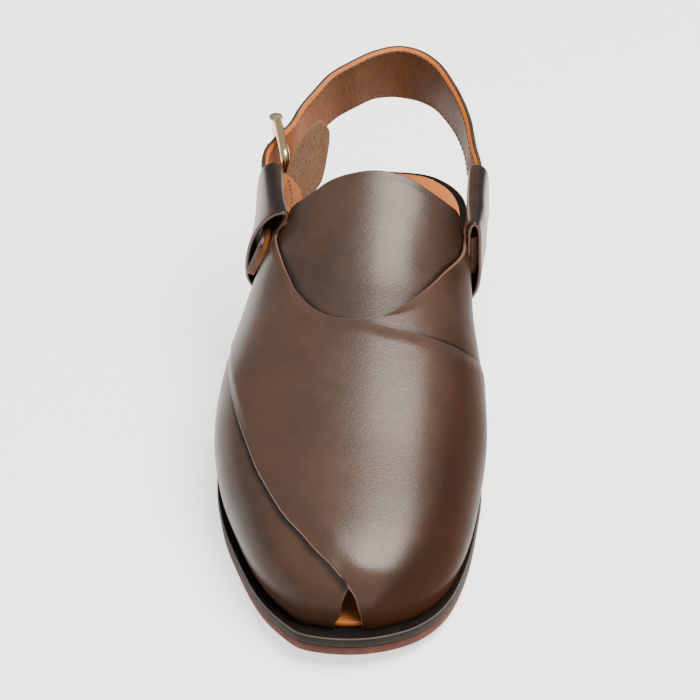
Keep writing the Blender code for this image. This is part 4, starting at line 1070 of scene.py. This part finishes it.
@dataclass
class HeelStrap:
    """The strap round the heel: an outer leather and a lining with a bevelled edge, stitched together."""

    last: Last
    leather: Material
    lining: Material
    thread: Material
    width: float = 0.026
    thickness: float = 0.0030
    lining_share: float = 0.45
    stand_offs: tuple[float, float] = (0.0034, 0.0031)
    loop_width: float = 0.77
    bevel: float = 0.0012
    stitched_from: float = 0.75
    snug: float = 0.0008
    lead: float = 0.034
    warm_length: float = 0.115
    stations: int = 420
    even: int = 22
    rear_lean: float = 0.08

    def frames(self) -> tuple[Array, Array, Array, Array, Array]:
        """Carry the strap's middle line along its route.

        Returns:
            Middle points, up directions, outward directions, half widths and distances along.
        """
        last = self.last
        rows, ups, widths = [], [], []

        def in_loop(side: Side, stations: Places) -> None:
            runs, levels = np.array(stations).T
            off = self.stand_offs[0 if side is Side.OUTER else 1]
            ends = [last.beside(runs, levels + rise, off, side) for rise in (0.0, 0.09)]
            rows.append(ends[0])
            ups.append(ends[1] - ends[0])
            widths.append(np.full(len(runs), self.width * self.loop_width + 0.0008))

        in_loop(Side.OUTER, STRAP_IN_LOOP)
        route = np.array(STRAP_ROUTE)
        rows.append(np.stack([route[:, 0] * last.ball_width + last.shift,
                              route[:, 1] * last.sole_length - last.sole_length / 2,
                              route[:, 2] * last.instep], 1))
        lean = fade(route[:, 1], self.rear_lean, 0.85, 0.1)
        ups.append(np.stack([0 * lean, lean, 0 * lean + 1], 1))
        widths.append(self.width * route[:, 3])
        in_loop(Side.INNER, STRAP_IN_LOOP[:0:-1])
        points, up, width = np.concatenate(rows), unit(np.concatenate(ups)), np.concatenate(widths)
        lengths = run_lengths(points)
        where = np.linspace(0, lengths[-1], self.stations)
        line = np.stack([smooth_curve(lengths, points[:, axis], where) for axis in range(3)], 1)
        up = np.stack([smooth_curve(lengths, up[:, axis], where) for axis in range(3)], 1)
        half = evened(smooth_curve(lengths, width, where) / 2, self.even)
        line[:, 2] = evened(line[:, 2], self.even)
        ahead = unit(np.gradient(line, axis=0))
        up = unit(up - ahead * np.sum(up * ahead, 1, keepdims=True))
        half *= 0.62 + 0.38 * rounded(where, 0.007)
        return line, up, np.cross(up, ahead), half, where

    def layer(self, name: str, profile: Sequence[tuple[float, float, float, float]],
              look: Material) -> None:
        """Sweep one layer: a closed profile of (outward, end, inset from that end, bevel mark) points."""
        line, up, out, half, where = self.frames()
        rows = np.array(profile)
        reach = half[:, None] * rows[:, 1] - rows[:, 2] * rows[:, 1]
        inside = ease((self.lead - np.minimum(where, where[-1] - where)) / 0.006)[:, None]
        depth = rows[:, 0] - self.snug * inside * (rows[:, 0] < -0.0008)
        sections = line[:, None] + out[:, None] * depth[..., None] + up[:, None] * reach[..., None]
        around = np.cumsum(np.linalg.norm(np.diff(sections, axis=1, prepend=sections[:, :1]), axis=2), axis=1)
        uv = np.stack([np.broadcast_to(where[:, None], around.shape), around], -1)
        warm = fade(-where[:, None], 0.55, -self.warm_length, 0.05)
        # Inside the loops the lighter bevel and tan tone are cut back: painted shade where the loop covers
        # the strap.
        mark = np.maximum(rows[:, 3], warm) * (1 - 0.85 * inside)
        attributes = {"bevel": mark, "edge": 0 * mark + 5, "warm": 0 * mark,
                      "seam": 0 * mark + 3 + 6 * (1 - np.abs(rows[:, 1]))}
        tube(sections, attributes=attributes, uv=uv).object(name, [look], ["heel_strap"], "strap")

    def build(self) -> None:
        """Make both layers and the seams."""
        half, join = self.thickness / 2, -self.thickness / 2 + self.thickness * self.lining_share
        across = np.linspace(1, -1, 12)[1:-1]
        self.layer("strap_outer", [(join, 1, 0.0002, 0), (join + 0.0003, 1, 0, 0), (half - 0.0007, 1, 0, 0),
                                   (half - 0.0002, 1, 0.0002, 0), (half, 1, 0.0008, 0)]
                   + [(half, end, 0, 0) for end in across]
                   + [(half, -1, 0.0008, 0), (half - 0.0002, -1, 0.0002, 0), (half - 0.0007, -1, 0, 0),
                      (join + 0.0003, -1, 0, 0), (join, -1, 0.0002, 0)], self.leather)
        back, bevel = -half, self.bevel
        self.layer("strap_lining", [(join - 0.00005, 1, 0.0002, 1), (join - 0.0002, 1, 0.0003, 1),
                                    (back + 0.0002, 1, bevel, 1), (back + 0.00012, 1, bevel + 0.0001, 0.3),
                                    (back, 1, bevel + 0.0003, 0)]
                   + [(back, end, 0, 0) for end in across]
                   + [(back, -1, 0.0008, 0), (back + 0.0002, -1, 0.0003, 0.4),
                      (join - 0.00005, -1, 0.0003, 0.6)],
                   self.lining)
        line, up, out, reach, _ = self.frames()
        keep = line[:, 1] > self.last.beside(self.stitched_from, 0.7, 0.0, Side.OUTER)[1]
        for label, face, end, inset in (
                ("lining_top", back, 1, bevel + 0.0008), ("lining_low", back, -1, 0.0014),
                ("outer_top", half, 1, 0.0019), ("outer_low", half, -1, 0.0019)):
            path = (line + out * face + up * (end * (reach - inset))[:, None])[keep]
            stitches(path, up[keep], out[keep] * math.copysign(1, face), 0.0021, 0.0007, 0.0006).object(
                f"stitches_{label}", [self.thread], [], "strap")


@dataclass
class Buckle:
    """The plated buckle: a wire frame, its prong and the suede flap that guards the ankle from it."""

    last: Last
    metal: Material
    suede: Material
    front: tuple[float, float] = (-0.357, 0.7430)
    rear: tuple[float, float] = (-0.406, 0.8390)
    low: float = 0.722
    high: float = 1.105
    corner: float = 0.0035
    wire: float = 0.0040
    prong_level: float = 0.905
    prong_wire: float = 0.0022
    head: float = 0.0030
    prong_overhang: float = 0.004
    flap: float = 0.0016

    def corner_point(self, share: float, level: float) -> Array:
        """Point on the buckle's plane, share 0 at the front bar and 1 at the rear bar."""
        last = self.last
        x, y = (start + (end - start) * share for start, end in zip(self.front, self.rear))
        return np.array([x * last.ball_width + last.shift, y * last.sole_length - last.sole_length / 2,
                         level * last.instep])

    def build(self) -> None:
        """Make the frame, the prong and the flap."""
        corners = np.array([self.corner_point(0, self.low), self.corner_point(1, self.low),
                            self.corner_point(1, self.high), self.corner_point(0, self.high)])
        back, on = unit(np.roll(corners, 1, 0) - corners), unit(np.roll(corners, -1, 0) - corners)
        centre = corners + (back + on) * self.corner
        angle = np.linspace(0, math.pi / 2, 14)[:, None]
        ring = (centre[:, None] - on[:, None] * self.corner * np.cos(angle)
                - back[:, None] * self.corner * np.sin(angle)).reshape(-1, 3)
        tube(wire_rings(ring, self.wire / 2, True), True).object(
            "frame_wire", [self.metal], ["buckle_frame"], "gold")
        top = self.corner_point(1, self.high) + [-0.0004, -0.0008, 0.0006]
        turn = np.linspace(0, 2 * math.pi, 36, endpoint=False)
        disc = np.stack([np.cos(turn), np.sin(turn), 0 * turn], -1)
        tube(np.stack([top + disc * width + [0, 0, rise] for width, rise in (
            (0.0024, -0.0011), (self.head * 0.96, -0.0007), (self.head, -0.0004), (self.head, 0.0001),
            (self.head * 0.93, 0.0004), (self.head * 0.5, 0.0006))])).object(
            "rail_head", [self.metal], ["buckle_frame"], "gold")
        start, end = self.corner_point(0, self.prong_level), self.corner_point(1, self.prong_level)
        ahead = unit(end - start)
        out = np.array([-ahead[1], ahead[0], 0.0]) * math.copysign(1.0, ahead[1])
        rest = (self.wire + self.prong_wire) / 2 + self.last.gap
        line = np.array([start + ahead * rest, start + ahead * 0.006 + out * 0.0012,
                         start + (end - start) * 0.6 + out * rest * 0.7, end + out * rest,
                         end + ahead * self.prong_overhang + out * rest])
        path = smooth_path(line, 60)
        taper = (0.45 + 0.55 * rounded(np.linspace(1, 0, 60), 0.12))[:, None, None]
        rings = wire_rings(path, self.prong_wire / 2, False, 20)
        tube(path[:, None] + (rings - path[:, None]) * taper).object(
            "prong_wire", [self.metal], ["buckle_prong"], "gold")
        self.build_flap()

    def build_flap(self) -> None:
        """Make the flap: an upright sheet between a low and a high edge, rounded at its free end."""
        last = self.last
        rows = FLAP_ROWS * [last.ball_width, last.sole_length, last.instep, last.instep]
        rows[:, 0] += last.shift
        rows[:, 1] -= last.sole_length / 2
        lengths = run_lengths(rows[:, :2])
        tip = lengths[-1] * (1 - (1 - np.linspace(0, 1, 60)) ** 1.5)
        x, y, low, high = (smooth_curve(lengths, rows[:, column], tip)[:, None] for column in range(4))
        close = rounded(lengths[-1] - tip, 0.006)[:, None]
        centre = low * 0.3 + high * 0.7
        low, high = (centre + (level - centre) * close for level in (low, high))
        up = np.concatenate([[0, 0.01, 0.025, 0.05], np.linspace(0.09, 0.91, 24), [0.95, 0.975, 0.99, 1]])
        z = low + (high - low) * up
        ahead = unit(np.stack([np.gradient(x[:, 0]), np.gradient(y[:, 0])], 1))
        out = np.stack([-ahead[:, 1], ahead[:, 0], 0 * ahead[:, 0]], 1)[:, None]
        edge = np.minimum(np.minimum(up, 1 - up) * (high - low), (lengths[-1] - tip)[:, None])
        thick = self.flap / 2 * (0.4 + 0.6 * rounded(edge, 0.0008))
        middle = np.stack([x + 0 * z, y + 0 * z, z], -1)
        shell(middle + out * thick[..., None], middle - out * thick[..., None]).object(
            "guard_flap", [self.suede, self.suede], ["buckle_flap"], "suede")


@dataclass
class Sole:
    """The sole's layers, each a slab inside the sole's outline with its own edge profile."""

    last: Last
    insole_look: Material
    edge_look: Material
    welt_look: Material
    rubber_look: Material
    ridge_look: Material
    stations: int = 150
    columns: int = 12

    def slab(self, name: str, node: str, slot: str, looks: Sequence[Material],
             reveals: tuple[float, float, float], start: float | None, low: Callable[[Array], Array],
             high: Callable[[Array], Array], profile: Profile, top_from: int) -> None:
        """Make a layer: its outline moved in by the profile's insets, at heights between two surfaces.

        Args:
            name: piece name.
            node: solid that it stands for.
            slot: material slot of the record.
            looks: edge and top materials.
            reveals: how far it stays inside the sole's edge at the toe, the side and the heel.
            start: distance from the toe tip at which it is cut straight, or None.
            low: underside by distance along.
            high: top by distance along.
            profile: rows of inset, height share and height shift, from the underside to the top.
            top_from: first profile row of the top material.
        """
        last = self.last
        toe, side, heel = reveals
        length = last.sole_length - toe - heel
        first = 0.0 if start is None else math.acos(1 - 2 * (start - toe) / length)
        share = (1 - np.cos(np.linspace(first, math.pi, self.stations))) / 2
        narrow = 1 - 2 * side / last.ball_width
        y = toe + length * share - last.sole_length / 2
        rows = np.array(profile)
        edges = []
        for which in Side:
            x = (last.edge_x(share, which) - last.shift) * narrow
            across = unit(np.stack([np.gradient(y), -np.gradient(x)], 1)) * which.value
            if start is None:
                across[0] = (0.0, -1.0)
            across[-1] = (0.0, 1.0)
            inset = rows[None, :, 0]
            edge_x = x[:, None] - across[:, 0:1] * inset + last.shift
            inwards = 1.0 if start is None else (share > share[3])[:, None]
            edge_y = y[:, None] - across[:, 1:2] * inset * inwards
            along = edge_y + last.sole_length / 2
            bottom, top = low(along), high(along)
            edges.append(np.stack([edge_x, edge_y, bottom + (top - bottom) * rows[:, 1] + rows[:, 2]], -1))
        outer, inner = edges
        part = np.linspace(0, 1, self.columns)[1:-1, None]

        def between(one: Array, other: Array) -> Array:
            x_y = one[:, None, :2] * (1 - part) + other[:, None, :2] * part
            z = one[:, None, 2] * (1 - part[:, 0]) + other[:, None, 2] * part[:, 0]
            return np.concatenate([x_y, z[..., None]], -1)

        sections = np.concatenate([outer, between(outer[:, -1], inner[:, -1]), inner[:, ::-1],
                                   between(inner[:, 0], outer[:, 0])], 1)
        form = tube(sections, poles=(start is not None, False))
        ring = sections.shape[1]
        count = len(rows)
        is_top = np.zeros(ring, bool)
        is_top[top_from:2 * count + self.columns - 2 - top_from - 1] = True
        form.slots = np.tile(is_top, len(form.faces) // ring).astype(int)
        form.object(name, looks, [node], slot, 60.0)

    def build(self) -> None:
        """Make the insole, midsole, outsole, heel stack and top piece."""
        last = self.last
        heel_start = last.sole_length - last.heel_length
        round_edge = [(0.003, 0, 0), (0.0005, 0, 0), (0.00015, 0, 0.00015), (0, 0, 0.0005), (0, 1, -0.0006),
                      (0.00018, 1, -0.0002), (0.0006, 1, 0), (0.003, 1, 0)]
        self.slab("insole_board", "insole", "lining", (self.insole_look, self.insole_look),
                  (last.toe_reveal - 0.0013, last.side_reveal - 0.0013, last.heel_reveal - 0.0015), None,
                  last.seat, lambda s: last.seat(s) + last.insole, round_edge, 5)
        self.slab("midsole_board", "midsole", "welt", (self.edge_look, self.welt_look), (0, 0, 0), None,
                  last.outsole_top, last.welt_top, round_edge, 6)
        self.slab("outsole_board", "outsole", "sole", (self.rubber_look, self.rubber_look),
                  (0.0005, 0.0005, 0.0005), None,
                  last.under, lambda s: last.outsole_top(s) - last.gap, round_edge, 6)
        ridge = [(0.003, 0, 0), (0.0006, 0, 0), (0.0001, 0.4, 0), (0.0001, 0.8, 0), (0.0003, 1, 0),
                 (0.0006, 1, 0), (0.0008, 0.3, 0), (0.003, 0.3, 0)]
        self.slab("welt_ridge", "midsole", "welt", (self.ridge_look, self.ridge_look), (0, 0, 0), None,
                  lambda s: last.welt_top(s) - 0.0006, lambda s: last.welt_top(s) + 0.00012, ridge, 6)
        lifts = [(0.0030, 0, 0), (0.0004, 0, 0), (0, 0, 0.0004)]
        for share in (0.34, 0.67):
            lifts += [(0, share, -0.0003), (0.0003, share, 0), (0, share, 0.0003)]
        lifts += [(0, 1, -0.0004), (0.0004, 1, 0), (0.0030, 1, 0)]
        self.slab("heel_lifts", "heel_stack", "welt", (self.edge_look, self.edge_look), (0, 0.0008, 0.0008),
                  heel_start, lambda s: 0 * s + last.top_piece + last.gap, lambda s: last.under(s) - last.gap,
                  lifts, 5)
        self.slab("heel_cap", "heel_top_piece", "sole", (self.rubber_look, self.rubber_look),
                  (0, 0.0008, 0.0008), heel_start, lambda s: 0 * s, lambda s: 0 * s + last.top_piece,
                  round_edge, 6)


@dataclass
class Studio:
    """Pale floor, soft light and the camera at the photograph's angle."""

    shift: float
    floor: str = "#fafaf8"
    key_colour: str = "#fff7ee"
    camera_at: tuple[float, float, float] = (0.05511, -1.18038, 0.95395)
    look_at: tuple[float, float, float] = (-0.00734, -0.00327, 0.045)
    lens: float = 187.2
    light_at: tuple[float, float, float] = (0.45, -0.20, 1.45)
    light_to: tuple[float, float, float] = (0.0, -0.25, 0.03)
    light_size: tuple[float, float] = (1.05, 0.90)
    reach: float = 6.0
    tooth_mm: float = 1.5
    surround: float = 0.5
    key: float = 52.0
    glow: float = 1.3

    def build(self) -> None:
        """Set up the floor, the lights, the surroundings and the camera."""
        made, tree, shader, place = start_material("paper_floor")
        tooth = add(tree, "TexNoise", {"Vector": place}, {"Scale": per_mm(self.tooth_mm), "Detail": 3.0})
        bump = add(tree, "Bump", {"Height": tooth}, {"Strength": 0.1, "Distance": 0.0002})
        feed(shader, {"Normal": bump}, {"Base Color": tone(self.floor), "Roughness": 0.9,
                                        "Emission Color": tone("#ffffff"), "Emission Strength": self.glow})
        mesh = bpy.data.meshes.new("floor")
        corners = np.array([(-1, -1, 0), (1, -1, 0), (1, 1, 0), (-1, 1, 0)]) * self.reach
        mesh.from_pydata(corners.tolist(), [], [[0, 1, 2, 3]])
        mesh.materials.append(made)
        floor = bpy.data.objects.new("floor", mesh)
        bpy.context.collection.objects.link(floor)
        world = bpy.data.worlds.new("studio")
        bpy.context.scene.world = world
        world.use_nodes = True
        feed(world.node_tree.nodes["Background"], None, {"Color": tone("#ffffff"), "Strength": self.surround})
        light = bpy.data.lights.new("overhead", "AREA")
        light.shape = "RECTANGLE"
        light.size, light.size_y = self.light_size
        light.energy, light.color = self.key, tone(self.key_colour)[:3]
        self.aimed("overhead", light, self.light_at, self.light_to)
        camera = bpy.data.cameras.new("camera")
        camera.lens = self.lens
        camera.sensor_width = 36.0
        shift = np.array([self.shift, 0, 0])
        viewer = self.aimed("camera", camera, shift + self.camera_at, shift + self.look_at)
        camera.clip_end = 20.0
        bpy.context.scene.camera = viewer

    @staticmethod
    def aimed(name: str, data: bpy.types.ID, at: Sequence[float], to: Sequence[float]) -> bpy.types.Object:
        """Put a lamp or a camera at a place, facing a point."""
        made = bpy.data.objects.new(name, data)
        made.location = at
        made.rotation_euler = (Vector(to) - Vector(at)).to_track_quat("-Z", "Y").to_euler()
        bpy.context.collection.objects.link(made)
        return made


def main() -> None:
    """Dress the shoe piece by piece and set up the studio."""
    logging.basicConfig(level=logging.INFO, format="%(name)s %(message)s")
    last = Last()
    leather = WaxedCalf().material()
    strap_leather = WaxedCalf(name="strap_calf", base="#35241c", light="#402c22").material()
    tongue_leather = WaxedCalf(name="tongue_calf", base="#352721", light="#402e25").material()
    lining = LiningLeather().material()
    # The loops' inner face: the tan lining darkened near-black as painted shade inside the loop.
    loop_inside = LiningLeather(name="lining_in_shade", base="#1e1310", light="#2c1c16",
                                bevel="#2c1c16").material()
    strap_lining = LiningLeather(name="creased_lining", base="#56341b", light="#684123", crease=0.6,
                                 crease_mm=1.0).material()
    insole = LiningLeather(name="insole_leather", base="#b2652c", light="#be7034").material()
    thread = WaxedThread().material()
    Upper(last, leather, lining, tongue_leather).build()
    for side in Side:
        StrapLoop(last, side, leather, loop_inside, lining, thread).build()
    HeelStrap(last, strap_leather, strap_lining, thread).build()
    Buckle(last, PaleGold().material(), BrushedSuede().material()).build()
    board_edge = SoleRubber(name="waxed_board_edge").material()
    welt = SoleRubber(name="black_welt", base="#0f0d0c", light="#1b1816", roughness=0.7, height=0.0004,
                      specular=0.06, speck="#4a4542").material()
    rubber = SoleRubber(name="red_brown_rubber", base="#4a2a22", light="#5f382d", roughness=0.75,
                        height=0.0003).material()
    edge_wax = SoleRubber(name="welt_edge_wax", base="#3f342e", light="#4f433b", specular=0.4,
                          roughness=0.45).material()
    Sole(last, insole, board_edge, welt, rubber, edge_wax).build()
    Studio(last.shift).build()


if __name__ == "__main__":
    main()
